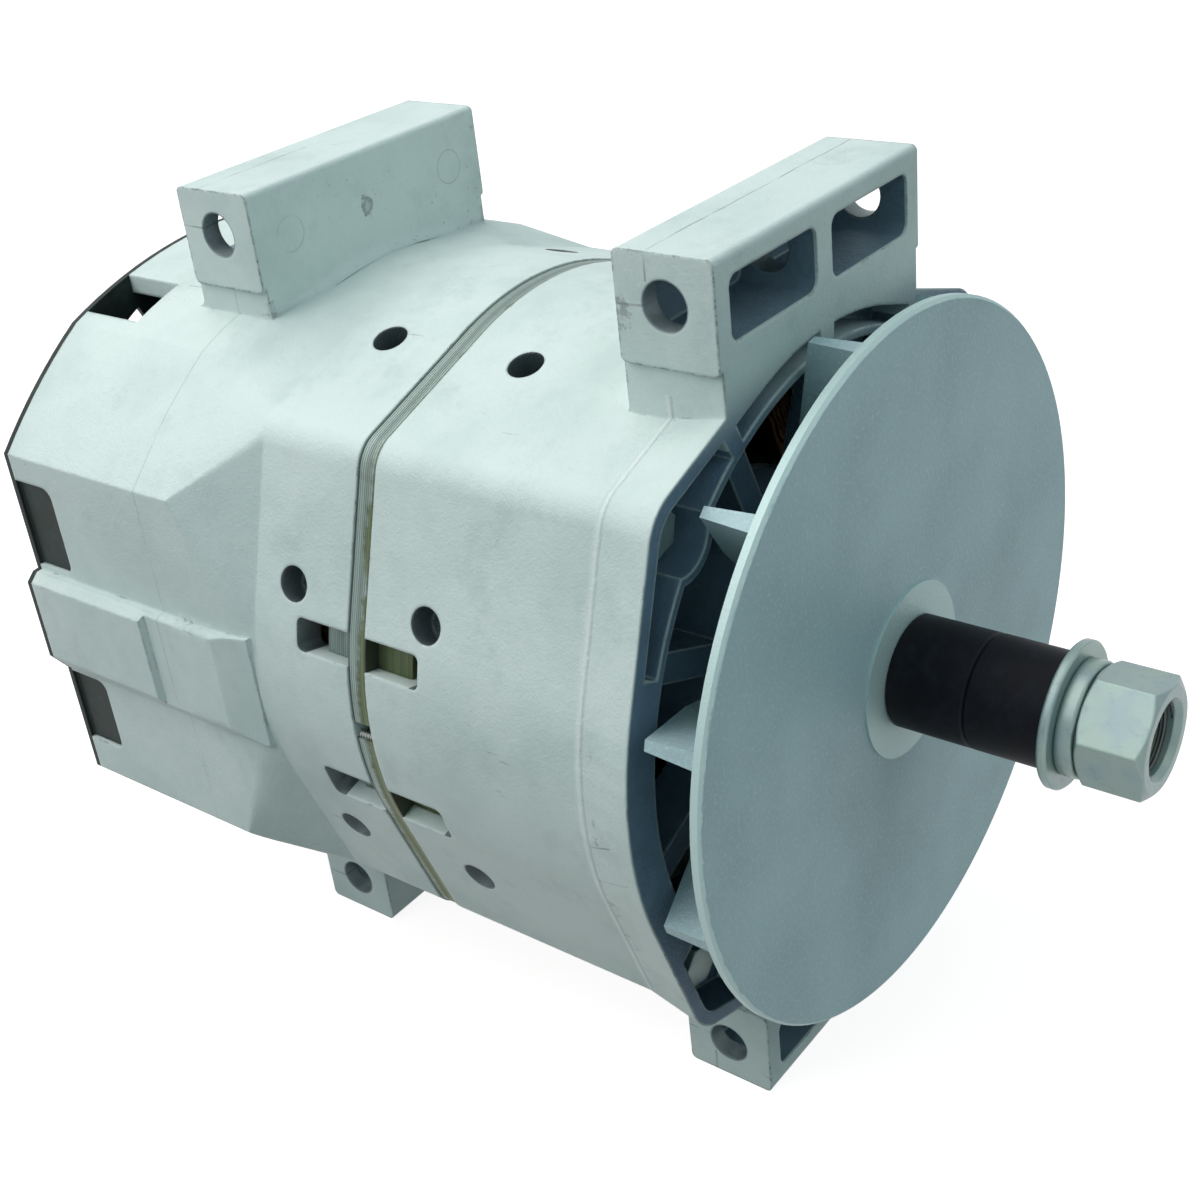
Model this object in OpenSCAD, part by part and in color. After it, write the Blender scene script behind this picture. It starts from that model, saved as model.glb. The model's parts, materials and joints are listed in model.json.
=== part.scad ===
// Heavy-duty truck alternator with four mounting pads, in millimetres.
// The shaft lies along Y, with the drive end towards -Y, and +Z is up.
// The origin is on the shaft axis at the front of the fan hub, where a pulley would seat.

/* [Housing] */
// Radius of the round housing, between its corners
body_r = 79.5; // [74:0.5:92]
// Radius of the circle that the four through bolts stand on
bolt_circle_r = 78; // [72:0.5:90]
// Radius of the housing's corners round the through bolts
corner_r = 9.5; // [8:0.5:13]
// Distance from the fan's front to the housing's front face
face_y = 19; // [17:0.5:26]
// Length of the drive-end frame
front_frame_len = 73.2; // [66:0.2:95]
// How far the front rim stands out from the barrel
rim_flare = 2.5; // [1:0.25:4]
// Length of the flared rim along the shaft
flare_len = 15; // [8:1:20]
// Width of the stator band left showing between the frames
band_w = 5.3; // [3:0.1:9]
// Length of the rear frame
rear_frame_len = 107.8; // [98:0.2:135]
// Wall of the rear frame's box
box_wall = 4.5; // [3:0.25:6]
// Half the width of the rear box between its flat sides
box_half_w = 80; // [77:0.5:96]
// Height of the rear box above the shaft
box_half_h = 81.2; // [80:0.2:98]

/* [Mounting bars] */
// Length of each mounting bar across the housing
bar_len = 79; // [60:1:100]
// Width of a bar along the shaft
bar_w = 23.5; // [20:0.5:30]
// Height of a bar
bar_h = 23.5; // [20:0.5:30]
// Distance between the front and rear bars' holes
bar_pitch_y = 127; // [120:0.5:140]
// Height of the bars' holes above and below the shaft
bar_hole_z = 95; // [93:0.5:112]
// Diameter of the mounting holes
bar_hole_d = 10.5; // [8:0.1:14]
// Wall left round the windows in the front bars
window_wall = 4.8; // [3:0.1:6]
// How far the necks under the bars are set back from the bars' ends
neck_inset = 1; // [0.5:0.25:4]
// Radius of the concave root round the necks' feet
neck_root = 2.5; // [1:0.5:5]

/* [Stator] */
// Length of the laminated core
core_len = 25.8; // [20:0.2:30]
// Outer radius of the laminated core
core_r = 75; // [71:0.5:76]
// Bore radius of the laminated core
core_bore_r = 56.6; // [50:0.2:58]
// Length of the end turns beyond the core
end_turn_len = 15; // [10:1:18]

/* [Fan] */
// Radius of the fan's disc
fan_r = 83; // [74:0.5:90]
// Thickness of the fan's disc
fan_t = 2.5; // [2:0.25:5]
// Number of fan blades
blade_count = 11; // [8:1:14]
// Length of a blade at its outer edge
blade_len = 12.1; // [9:0.1:13]
// Blade thickness where it joins the disc
blade_root = 4; // [3:0.25:6]
// Blade thickness at its free edge
blade_tip = 1.7; // [1:0.1:2.5]

/* [Shaft] */
// Shaft diameter where the pulley seats
seat_d = 22.2; // [20:0.1:24]
// Diameter of the threaded shaft end
thread_d = 15.8; // [12:0.1:16]
// Width of the shaft nut across its flats
nut_af = 23.8; // [22:0.1:30]
// Height of the shaft nut
nut_h = 15; // [10:0.5:18]
// Outer diameter of the two spacer sleeves
sleeve_d = 26.1; // [25:0.1:30]
// Length of each spacer sleeve
sleeve_len = 18.1; // [12:0.1:24]

/* [Hidden] */
$fn = 72;

// Small overlap for cuts, and clearances between pieces
eps = 0.05;
slip = 0.1;
run = 0.4;

// Places along the shaft
split_front_y = face_y + front_frame_len;
split_rear_y = split_front_y + band_w;
rear_end_y = split_rear_y + rear_frame_len;
mid_y = (split_front_y + split_rear_y) / 2;
core_y0 = mid_y - core_len / 2;
core_y1 = mid_y + core_len / 2;
cavity_r = core_r - 3;

// Front face
rim_wall = 3.5;
lip_r = 72.5 + core_r - 75;
lip_wall = 1.9;
groove_depth = 9;
face_wall = 14;
inner_face_y = face_y + face_wall;
inlet_r = lip_r;
spoke_y0 = face_y + 9;
spoke_w = 7;
spoke_count = 8;
hub_r = 38;
tangent_angle = acos((body_r - corner_r) / bolt_circle_r);

// Bearings: bore, outside diameter, width, ball diameter, ball count
fb = [25, 62, 17, 11.4, 7];
rb = [17, 40, 12, 6.7, 8];
fb_y = face_y + 7;
web_t = 5;
web_y = core_y1 + end_turn_len + 5;
rb_y = web_y + 6;
fb_pitch_r = (fb[0] + fb[1]) / 4;
rb_pitch_r = (rb[0] + rb[1]) / 4;
race_share = 0.22;

// Rear box: the long arcs above and below, and the bowed corners with their centres far inside
box_arc_r = 132.8;
box_arc_z = box_half_h - box_arc_r;
box_corner_r = 150;
box_corner_in = 109.9;
box_corner_down = 136.4;
shoulder_y = web_y;
shoulder_arc_r = 110;
rib_rise = 4;
rib_step_y = rear_end_y - 43;
window_y0 = rear_end_y - 13.5;
window_spans = [[16.2, 40], [-37, -15.8]];
window_round = 3;
notch_y0 = rear_end_y - 19.3;
notch_x = -40;
notch_w = 14.6;
cover_t = 1.6;
vent_r0 = 61;
vent_r1 = 75.5;

// Bars
front_bar_y = face_y + bar_w / 2;
rear_bar_y = front_bar_y + bar_pitch_y;
box_front_y = rear_bar_y - bar_w / 2 + 0.05;
bar_top_z = bar_hole_z + 10.5;
bar_base_z = bar_top_z - bar_h;
bar_round = 1.5;
neck_half = bar_len / 2 - neck_inset;

// Through bolts
bolt_d = 6.3;
bolt_af = 9.5;
bolt_head_h = 4;
bolt_seat_y = face_y + 11;
bolt_thread_len = 26;
bolt_pocket_r = 8;

// Rotor
rotor_gap = 0.6;
rotor_r = core_bore_r - rotor_gap;
pole_disc_t = 12;
claw_count = 6;
pole_y0 = core_y0 - pole_disc_t - 1.5;
pole_y1 = core_y1 + pole_disc_t + 1.5;
claw_t = 9;
claw_root_w = 32;
claw_tip_w = 12;
coil_r = rotor_r - claw_t - 1.5;
core_hub_r = 24;
shaft_mid_d = 28;

// Slip rings and brushes
ring_r = 13;
ring_w = 6;
ring_gap = 3;
ring_y0 = rb_y + rb[2] + 8;
ring_y1 = ring_y0 + 2 * ring_w + ring_gap;
shaft_end_y = ring_y1 + 4;

// Spring washer, flat washer and nut
washer_t = 2.2;
washer_r = 16.4;
spring_t = 3.9;
spring_r = 12.9;
sleeve_end_y = -2 * sleeve_len;
washer_y = sleeve_end_y - washer_t;
spring_y = washer_y - spring_t;
nut_y = spring_y - nut_h;
shaft_tip_y = nut_y + 5;

// Rectifier plates
plate_r0 = 34;
plate_r1 = 64;
plate_t = 4;
neg_y = rear_end_y - 34;
pos_y = neg_y + 13;
post_r = 4.5;
post_pitch_r = 57;
spoke_step = 360 / spoke_count;
post_angles = [for (k = [0:3]) -spoke_step * (k + 0.5)];
diode_angles = [for (k = [1:3]) -spoke_step * k];
diode_pitch_r = (plate_r0 + plate_r1) / 2;
diode_r = 6.4;
stud_angle = -175;
stud_r = 4;
stud_out = 24;
ground_angle = spoke_step * 3.5;

// Draws a flat shape in X and Z, from y0 to y1
module slab(y0, y1) {
    translate([0, y1, 0]) rotate([90, 0, 0]) linear_extrude(y1 - y0) children();
}

// Turns a flat shape, drawn as radius and distance along the shaft, round the shaft
module turned() {
    rotate([-90, 0, 0]) rotate_extrude() children();
}

// A round bar along the shaft
module rod(r, y0, y1) {
    translate([0, y0, 0]) rotate([-90, 0, 0]) cylinder(r = r, h = y1 - y0);
}

// A tube along the shaft
module tube(r_out, r_in, y0, y1) {
    turned() translate([r_in, y0]) square([r_out - r_in, y1 - y0]);
}

// Places children at an angle round the shaft, measured from -X upwards
module around(angle) {
    rotate([0, angle + 180, 0]) children();
}

// A rectangle with round corners, centred
module round_rect(w, h, r) {
    square([w - 2 * r, h], center = true);
    square([w, h - 2 * r], center = true);
    for (sx = [-1, 1], sz = [-1, 1])
        translate([sx * (w / 2 - r), sz * (h / 2 - r)]) circle(r = r, $fn = 32);
}

// A wedge-shaped sector from angle a0 to a1, measured from -X upwards
module sector(a0, a1, r = 130) {
    steps = 6;
    polygon(concat([[0, 0]], [for (i = [0:steps])
        let (a = a0 + (a1 - a0) * i / steps) [-r * cos(a), r * sin(a)]]));
}

// Straight flanks between the barrel's circle and one corner. They lie a hair inside the tangents,
// so that they cross both circles cleanly
function flanks(grow) = let (tuck = 0.02, big = body_r + grow - tuck, small = corner_r + grow - tuck,
    c = cos(tangent_angle), s = sin(tangent_angle))
    [[0, 0], [big * c, -big * s], [bolt_circle_r + small * c, -small * s],
    [bolt_circle_r + small * c, small * s], [big * c, big * s]];

// Outline of the barrel: a circle with four corners that hold the through bolts
module outline(grow = 0) {
    circle(r = body_r + grow);
    for (k = [0:3]) rotate(45 + 90 * k) {
        translate([bolt_circle_r, 0]) circle(r = corner_r + grow);
        polygon(flanks(grow));
    }
}

// The flare that widens the outline to the front face. It narrows on into the barrel, so that its
// surface crosses the barrel's at the crease
module flare() {
    sunk = 0.5;
    hull() {
        slab(face_y, face_y + eps) outline(rim_flare, $fn = 96);
        slab(face_y + flare_len * (1 + sunk / rim_flare), face_y + flare_len * (1 + sunk / rim_flare) + eps)
            outline(-sunk, $fn = 96);
    }
}

// Outline of the rear box: flat sides, a long arc above and below, and bowed corners between them
module box_outline(grow = 0) {
    intersection() {
        square([2 * (box_half_w + grow), 4 * box_half_h], center = true);
        translate([0, box_arc_z]) circle(r = box_arc_r + grow, $fn = 144);
        translate([0, -box_arc_z]) circle(r = box_arc_r + grow, $fn = 144);
        box_corner(grow, 1, 1);
        box_corner(grow, 1, -1);
        box_corner(grow, -1, 1);
        box_corner(grow, -1, -1);
    }
}

module box_corner(grow, sx, sz) {
    translate([sx * (box_half_w - box_corner_in), sz * (box_half_h - box_corner_down)])
        circle(r = box_corner_r + grow, $fn = 144);
}

// The shoulder, where the barrel's outline widens to the box's. It starts a hair inside the barrel
// and ends a hair outside the box, so that its faces cross theirs
module shoulder() {
    hair = 0.2;
    hull() {
        slab(shoulder_y - 1, shoulder_y - 1 + eps) outline(-hair, $fn = 96);
        slab(box_front_y + eps, box_front_y + 2 * eps) {
            circle(r = body_r - hair);
            difference() {
                box_outline(hair);
                square([2 * neck_half, 4 * box_half_h], center = true);
            }
        }
    }
}

// The box, cut back along the shoulder at its front
module rear_box() {
    intersection() {
        slab(shoulder_y - 1, rear_end_y) box_outline();
        union() {
            shoulder();
            slab(box_front_y, rear_end_y + 1) square(4 * box_half_w, center = true);
        }
    }
}

// One mounting bar above the shaft, on its neck
module bar(y_mid) {
    translate([-bar_len / 2, y_mid, (bar_top_z + bar_base_z) / 2]) rotate([90, 0, 90])
        linear_extrude(bar_len) round_rect(bar_w, bar_h, bar_round);
    translate([-neck_half, y_mid - bar_w / 2, body_r * 0.6])
        cube([2 * neck_half, bar_w, bar_base_z - body_r * 0.6 + 2]);
}

// A bar of the drive-end frame, with windows in its front face
module front_bar() {
    difference() {
        union() {
            bar(front_bar_y);
            neck_fillet(front_bar_y + bar_w / 2, 0, body_r);
        }
        bar_windows(front_bar_y);
    }
}

// A bar of the rear frame, with windows in its rear face
module rear_bar() {
    difference() {
        union() {
            bar(rear_bar_y);
            mirror_y(rear_bar_y)
                neck_fillet(rear_bar_y + bar_w / 2, body_r - shoulder_arc_r, shoulder_arc_r);
            neck_fillet(rear_bar_y + bar_w / 2, box_arc_z, box_arc_r);
        }
        mirror_y(rear_bar_y) bar_windows(rear_bar_y);
    }
}

module mirror_y(y) {
    translate([0, y, 0]) mirror([0, 1, 0]) translate([0, -y, 0]) children();
}

// The concave root round a neck's foot, on the side that faces +Y; it follows the casting's arc
module neck_fillet(y, arc_z, arc_r) {
    intersection() {
        translate([0, 0, arc_z]) turned() difference() {
            translate([arc_r - 3, y - eps]) square([neck_root + 3, neck_root + eps]);
            translate([arc_r + neck_root, y + neck_root]) circle(r = neck_root, $fn = 48);
        }
        translate([-neck_half, y - 1, 0]) cube([2 * neck_half, neck_root + 2, bar_base_z + 1]);
    }
}

// The two pockets in the front of a bar, with a web between them
module bar_windows(y_mid) {
    pane_w = (bar_len - 2 * window_wall - 6) / 2;
    pane_h = bar_h - 10;
    z_mid = bar_base_z + 5.4 + pane_h / 2;
    for (s = [-1, 1])
        translate([s * (pane_w / 2 + 3), 0, z_mid])
            slab(y_mid - bar_w / 2 - 1, y_mid + bar_w / 2 - window_wall) round_rect(pane_w, pane_h, 2.6);
}

// Holes along X through the bars
module bar_holes(y_mid) {
    for (s = [-1, 1])
        translate([-bar_len, y_mid, s * bar_hole_z]) rotate([0, 90, 0])
            cylinder(d = bar_hole_d, h = 2 * bar_len);
}

// Blind round holes round the barrel, four on each side
module barrel_holes(y) {
    hole_d = 8.4;
    depth = 6.5;
    for (flip = [0, 1], a = [22.3, 66.5, -29, -66.5]) mirror([flip, 0, 0]) around(a)
        translate([body_r - depth, y, 0]) rotate([0, 90, 0]) cylinder(d = hole_d, h = 20, $fn = 32);
}

// Slots that leave the core's side bare, above and below the middle of each side
module core_slots(y0, y1) {
    slot_round = 1.6;
    for (flip = [0, 1], slot = [[14.3, 8], [-15.2, 9.8]]) mirror([flip, 0, 0]) around(slot[0])
        translate([cavity_r - 2, (y0 + y1) / 2, 0]) rotate([90, 0, 90])
            linear_extrude(30) round_rect(y1 - y0, slot[1], slot_round);
}

// Through-bolt holes of radius r
module bolt_holes(r, y0, y1) {
    for (k = [0:3]) around(45 + 90 * k) translate([bolt_circle_r, 0, 0]) rod(r, y0, y1);
}

// Cast frame at the drive end: flared bell, grooved front face, spoked hub and two bars
module drive_end_frame() color("gainsboro") {
    difference() {
        union() {
            slab(face_y + flare_len - 1, split_front_y) outline();
            flare();
            front_bar();
            mirror([0, 0, 1]) front_bar();
        }
        rod(core_r + slip, core_y0, split_front_y + 1);
        rod(cavity_r, inner_face_y, core_y0 + eps);
        difference() {
            rod(inlet_r, face_y - 1, inner_face_y + eps);
            for (k = [0:3]) around(45 + 90 * k) translate([bolt_circle_r, 0, 0])
                rod(bolt_pocket_r + lip_wall, face_y - 2, inner_face_y + 1);
        }
        front_grooves();
        bolt_holes(bolt_pocket_r, face_y - 1, bolt_seat_y);
        bolt_holes(bolt_d / 2 + 0.3, bolt_seat_y - 1, split_front_y + 1);
        bar_holes(front_bar_y);
        barrel_holes(mid_y - 20);
        core_slots(core_y0 - 5.5, split_front_y + 3);
    }
    front_spider();
}

// Grooves between the rim and the inlet lip, and the wide pockets at the two lower corners
module front_grooves() {
    upper = [[24, 60], [63.5, 88]];
    lower = [-56, -31];
    slab(face_y - 1, face_y + groove_depth) for (flip = [0, 1]) mirror([flip, 0]) {
        for (span = upper) intersection() {
            difference() {
                outline(rim_flare - rim_wall);
                circle(r = lip_r + lip_wall);
            }
            sector(span[0], span[1]);
        }
        intersection() {
            difference() {
                outline(rim_flare - rim_wall);
                circle(r = lip_r + lip_wall);
            }
            sector(lower[0], lower[1]);
        }
    }
}

// Spokes and the hub that holds the front bearing
module front_spider() {
    hub_y0 = fb_y - 3;
    hub_y1 = fb_y + fb[2] + 2;
    difference() {
        union() {
            rod(hub_r, hub_y0, hub_y1);
            for (k = [0:spoke_count - 1]) around((k + 0.5) * 360 / spoke_count)
                translate([hub_r - 2, spoke_y0, -spoke_w / 2])
                    cube([cavity_r + 3 - hub_r, face_wall - 2, spoke_w]);
        }
        rod(fb[1] / 2 + 0.02, fb_y, hub_y1 + 1);
        rod(fb[1] / 2 - 4, hub_y0 - 1, fb_y + 1);
        for (k = [0:3]) around(90 * k) translate([hub_r - 3.2, 0, 0]) rod(1.6, hub_y1 - 10, hub_y1 + 1);
    }
}

// Cast frame at the rear: barrel, box with flat sides, ribs, windows and two bars
module rear_frame() color("gainsboro") {
    difference() {
        union() {
            slab(split_rear_y, shoulder_y + 4) outline();
            rod(body_r - eps, shoulder_y, box_front_y + 1);
            rear_box();
            rear_bar();
            mirror([0, 0, 1]) rear_bar();
            side_rib();
        }
        rod(core_r + slip, split_rear_y - 1, core_y1);
        rod(cavity_r, core_y1 - eps, web_y);
        rod(cavity_r + 4, web_y + web_t, box_front_y + eps);
        slab(box_front_y, rear_end_y + 1) box_outline(-box_wall);
        bolt_holes(bolt_d / 2 + 0.05, split_rear_y - 1, split_rear_y + bolt_thread_len + 2);
        bar_holes(rear_bar_y);
        barrel_holes(mid_y + 20);
        core_slots(split_rear_y - 3, core_y1 + 5.5);
        side_windows();
        translate([notch_x - notch_w / 2, notch_y0, box_half_h / 2]) cube([notch_w, 40, box_half_h]);
        rod(hub_bore_r(), web_y - 1, web_y + web_t + 1);
        web_vents();
    }
    rear_hub();
    rear_posts();
    cover_bosses();
}

function hub_bore_r() = rb[1] / 2 + 4;

// Raised rib along the -X side; in plan it steps down towards the front and runs out on the barrel
module side_rib() {
    low = rib_rise - 1.4;
    x = -box_half_w;
    intersection() {
        slab(web_y, rear_end_y) rib_profile();
        translate([0, 0, -30]) linear_extrude(60) polygon([[x + 4, web_y], [x + 0.2, web_y + 1],
            [x - low, web_y + 11], [x - low, rib_step_y], [x - rib_rise - 1, rib_step_y + 1.5],
            [x - rib_rise - 1, rear_end_y], [x + 4, rear_end_y]]);
    }
}

module rib_profile() {
    x = -box_half_w;
    polygon([[x + 3, 15], [x - rib_rise * 0.4, 14.6], [x - rib_rise, 12.5], [x - rib_rise, -9.5],
        [x, -15.2], [x + 3, -15.2]]);
}

// Openings in the side walls, open to the rear edge
module side_windows() {
    for (span = window_spans, s = [-1, 1]) window_block(span, s * box_half_w - 12, s * box_half_w + 12, 0);
}

// A block in the shape of a side window, from x0 to x1, smaller all round by a gap
module window_block(span, x0, x1, gap) {
    translate([x0, rear_end_y, (span[0] + span[1]) / 2]) rotate([90, 0, 90]) linear_extrude(x1 - x0)
        round_rect(2 * (rear_end_y - window_y0 - gap), span[1] - span[0] - 2 * gap, window_round - gap);
}

// Air openings in the wall behind the rotor
module web_vents() {
    half = spoke_step / 2 - 5.5;
    for (k = [0:spoke_count - 1]) slab(web_y - 1, web_y + web_t + 1) intersection() {
        difference() {
            circle(r = 64);
            circle(r = 34);
        }
        sector(k * spoke_step - half, k * spoke_step + half);
    }
}

// Boss for the rear bearing, on the wall behind the rotor
module rear_hub() {
    difference() {
        rod(hub_bore_r() + 3, web_y, rb_y + rb[2] + 3);
        rod(rb[1] / 2 + 0.02, web_y - 1, rb_y + rb[2]);
        rod(rb[1] / 2 - 3, rb_y, rb_y + rb[2] + 4);
    }
}

// Posts that carry the rectifier plates
module rear_posts() {
    for (a = post_angles) around(a) translate([post_pitch_r, 0, 0]) difference() {
        rod(post_r, web_y + web_t - 1, neg_y);
        rod(1.6, neg_y - 14, neg_y + 1);
    }
}

cover_boss_at = [for (sx = [-1, 1], sz = [-1, 1]) [sx * (box_half_w - 16), sz * (box_half_h - 31)]];

// Bosses in the box's corners for the cover screws
module cover_bosses() {
    for (p = cover_boss_at) difference() {
        intersection() {
            slab(rear_end_y - 30, rear_end_y) box_outline(1 - box_wall);
            translate([p[0], 0, p[1]]) rod(7.5, rear_end_y - 30, rear_end_y);
        }
        translate([p[0], 0, p[1]]) rod(2.1, rear_end_y - 16, rear_end_y + 1);
    }
}

// Laminated core with its winding slots; its middle laminations show as the band
module stator_core() color("tan") {
    band_inset = 0.35;
    slot_count = 36;
    difference() {
        union() {
            rod(core_r, core_y0, core_y1);
            slab(split_front_y, split_rear_y) outline(-band_inset);
        }
        rod(core_bore_r, core_y0 - 1, core_y1 + 1);
        bolt_holes(bolt_d / 2 + 0.3, core_y0 - 1, core_y1 + 1);
        for (k = [0:slot_count - 1]) around(k * 360 / slot_count)
            translate([core_bore_r - 2, core_y0 - 1, -1.9]) cube([11, core_len + 2, 3.8]);
        for (side = [0, 180]) around(side) translate([body_r - 4, core_y0 - 1, -2.2])
            cube([10, core_len + 2, 4.4]);
    }
}

// Bundle of copper end turns, from r0 to r1
module end_turns(y0, y1) {
    r0 = core_bore_r + 2;
    r1 = cavity_r - 3;
    turned() translate([(r0 + r1) / 2, (y0 + y1) / 2]) round_rect(r1 - r0, y1 - y0, 3.5);
}

module front_end_turns() color("peru") end_turns(core_y0 - end_turn_len, core_y0);
module rear_end_turns() color("peru") end_turns(core_y1, core_y1 + end_turn_len);

// Four long bolts with hexagon flange heads
module through_bolts() color("silver")
    for (k = [0:3]) around(45 + 90 * k) translate([bolt_circle_r, 0, 0]) {
        rod(bolt_d / 2, bolt_seat_y - eps, split_rear_y + bolt_thread_len);
        rod(bolt_af * 0.7, bolt_seat_y - 1.2, bolt_seat_y);
        translate([0, bolt_seat_y - 1.2 - bolt_head_h, 0]) rotate([-90, 0, 0])
            cylinder(d = bolt_af / cos(30), h = bolt_head_h + eps, $fn = 6);
    }

// Plate that holds the front bearing in its hub, with four screws
module bearing_retainer() color("silver") {
    y0 = fb_y + fb[2] + 2;
    difference() {
        rod(hub_r, y0, y0 + 3);
        rod(fb_pitch_r, y0 - 1, y0 + 4);
        for (k = [0:3]) around(90 * k) translate([hub_r - 3.2, 0, 0]) rod(2.2, y0 - 1, y0 + 4);
    }
}

module retainer_screws() color("dimgray") {
    y0 = fb_y + fb[2] + 5;
    for (k = [0:3]) around(90 * k) translate([hub_r - 3.2, 0, 0]) {
        rod(1.55, y0 - 12, y0 + eps);
        rod(3, y0, y0 + 2.4);
    }
}

// Ball bearing pieces, from a list of bore, outside diameter, width, ball diameter and count
function race_step(b) = (b[1] - b[0]) / 2 * race_share;

module ball_groove(b, y0) {
    turned() translate([(b[0] + b[1]) / 4, y0 + b[2] / 2]) circle(d = b[3] + 0.6, $fn = 32);
}

module outer_race(b, y0) {
    difference() {
        tube(b[1] / 2, b[1] / 2 - race_step(b), y0, y0 + b[2]);
        ball_groove(b, y0);
    }
}

module inner_race(b, y0) {
    difference() {
        tube(b[0] / 2 + race_step(b), b[0] / 2, y0, y0 + b[2]);
        ball_groove(b, y0);
    }
}

module ball_set(b, y0) {
    for (k = [0:b[4] - 1]) around(k * 360 / b[4])
        translate([(b[0] + b[1]) / 4, y0 + b[2] / 2, 0]) sphere(d = b[3], $fn = 32);
}

module ball_cage(b, y0) {
    pitch = (b[0] + b[1]) / 4;
    difference() {
        tube(pitch + b[3] * 0.16, pitch - b[3] * 0.16, y0 + 2, y0 + b[2] - 2);
        for (k = [0:b[4] - 1]) around(k * 360 / b[4])
            translate([0, y0 + b[2] / 2, 0]) rotate([0, 90, 0]) cylinder(d = b[3] + 0.3, h = pitch * 2);
    }
}

module front_outer_race() color("lightsteelblue") outer_race(fb, fb_y);
module front_inner_race() color("lightsteelblue") inner_race(fb, fb_y);
module front_balls() color("silver") ball_set(fb, fb_y);
module front_cage() color("goldenrod") ball_cage(fb, fb_y);
module rear_outer_race() color("lightsteelblue") outer_race(rb, rb_y);
module rear_inner_race() color("lightsteelblue") inner_race(rb, rb_y);
module rear_balls() color("silver") ball_set(rb, rb_y);
module rear_cage() color("goldenrod") ball_cage(rb, rb_y);

// Stepped shaft: threaded end, pulley seat, bearing seats, rotor seat and slip-ring end
module shaft() color("silver") {
    turned() polygon([[0, shaft_tip_y], [thread_d / 2 - 1, shaft_tip_y], [thread_d / 2, shaft_tip_y + 1],
        [thread_d / 2, sleeve_end_y + 1.5], [seat_d / 2, sleeve_end_y + 1.5], [seat_d / 2, fb_y],
        [fb[0] / 2, fb_y], [fb[0] / 2, fb_y + fb[2]], [shaft_mid_d / 2, fb_y + fb[2]],
        [shaft_mid_d / 2, rb_y - 2], [rb[0] / 2, rb_y - 2], [rb[0] / 2, shaft_end_y - 1],
        [rb[0] / 2 - 1, shaft_end_y], [0, shaft_end_y]]);
}

// One claw pole: a disc, half of the inner core and tapered claws that reach across the core.
// It is turned from the solid, hollowed behind the disc, and the gaps between the claws are cut out
module claw_pole() {
    reach = core_len + 1;
    half_step = PI * rotor_r / claw_count;
    root_gap = half_step - claw_root_w / 2;
    tip_gap = half_step - claw_tip_w / 2;
    difference() {
        turned() polygon([[shaft_mid_d / 2, 0], [rotor_r - 1, 0], [rotor_r, 1], [rotor_r, pole_disc_t + reach],
            [rotor_r - claw_t, pole_disc_t + reach], [rotor_r - claw_t, pole_disc_t], [core_hub_r, pole_disc_t],
            [core_hub_r, pole_disc_t + 1.5 + core_len / 2 - 0.05],
            [shaft_mid_d / 2, pole_disc_t + 1.5 + core_len / 2 - 0.05]]);
        for (k = [0:claw_count - 1]) around((k + 0.5) * 360 / claw_count)
            translate([coil_r - 6, 0, 0]) rotate([90, 0, 90]) linear_extrude(rotor_r)
                polygon([[-1, -root_gap], [pole_disc_t, -root_gap], [pole_disc_t + reach + 1, -tip_gap],
                    [pole_disc_t + reach + 1, tip_gap], [pole_disc_t, root_gap], [-1, root_gap]]);
    }
}

module front_pole() color("slategray") translate([0, pole_y0, 0]) claw_pole();
module rear_pole() color("slategray") translate([0, pole_y1, 0]) rotate([0, 180 / claw_count, 0])
    mirror([0, 1, 0]) claw_pole();

module field_coil() color("peru")
    tube(coil_r - 1, core_hub_r + slip, pole_y0 + pole_disc_t + 0.3, pole_y1 - pole_disc_t - 0.3);

// Two copper rings on a moulded hub
module slip_rings() color("peru") {
    tube(ring_r - 1.5, rb[0] / 2, ring_y0 - 3, ring_y1 + 2);
    for (k = [0, 1]) tube(ring_r, ring_r - 1.6, ring_y0 + k * (ring_w + ring_gap),
        ring_y0 + k * (ring_w + ring_gap) + ring_w);
}

// Cast fan: flat disc, wedge-shaped blades behind it and a long hub
module fan() color("lightslategray") {
    hub_out = 20.6;
    spot = 0.35;
    difference() {
        union() {
            turned() polygon([[0, spot], [hub_out, spot], [hub_out, 0.9], [fan_r - 0.8, 0.9],
                [fan_r, 1.7], [fan_r, 0.9 + fan_t], [hub_out + 14, 0.9 + fan_t + 1],
                [hub_out + 2, 9], [17, fb_y], [0, fb_y]]);
            fan_blades();
        }
        rod(seat_d / 2, -1, fb_y + 1);
    }
}

module fan_blades() {
    root_y = 0.9 + fan_t - 0.6;
    tip_y = root_y + 0.6 + blade_len;
    first_angle = 16;
    for (k = [0:blade_count - 1]) around(first_angle + k * 360 / blade_count) intersection() {
        translate([0, 0, -10]) linear_extrude(20)
            polygon([[40, root_y], [fan_r - 1.5, root_y], [fan_r - 1.5, tip_y],
                [fan_r - 23, tip_y + 5.4], [47, tip_y + 6], [40, tip_y]]);
        rotate([90, 0, 90]) linear_extrude(fan_r)
            polygon([[root_y, -blade_root / 2], [root_y, blade_root / 2],
                [tip_y + 6, blade_tip / 2], [tip_y + 6, -blade_tip / 2]]);
    }
}

module sleeve(y0, y1) {
    turned() polygon([[seat_d / 2 + slip, y0 + eps], [sleeve_d / 2 - 0.5, y0 + eps], [sleeve_d / 2, y0 + 0.55],
        [sleeve_d / 2, y1 - 0.5], [sleeve_d / 2 - 0.5, y1], [seat_d / 2 + slip, y1]]);
}

module inner_sleeve() color("black") sleeve(-sleeve_len, 0.35);
module outer_sleeve() color("black") sleeve(-2 * sleeve_len, -sleeve_len);

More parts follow.
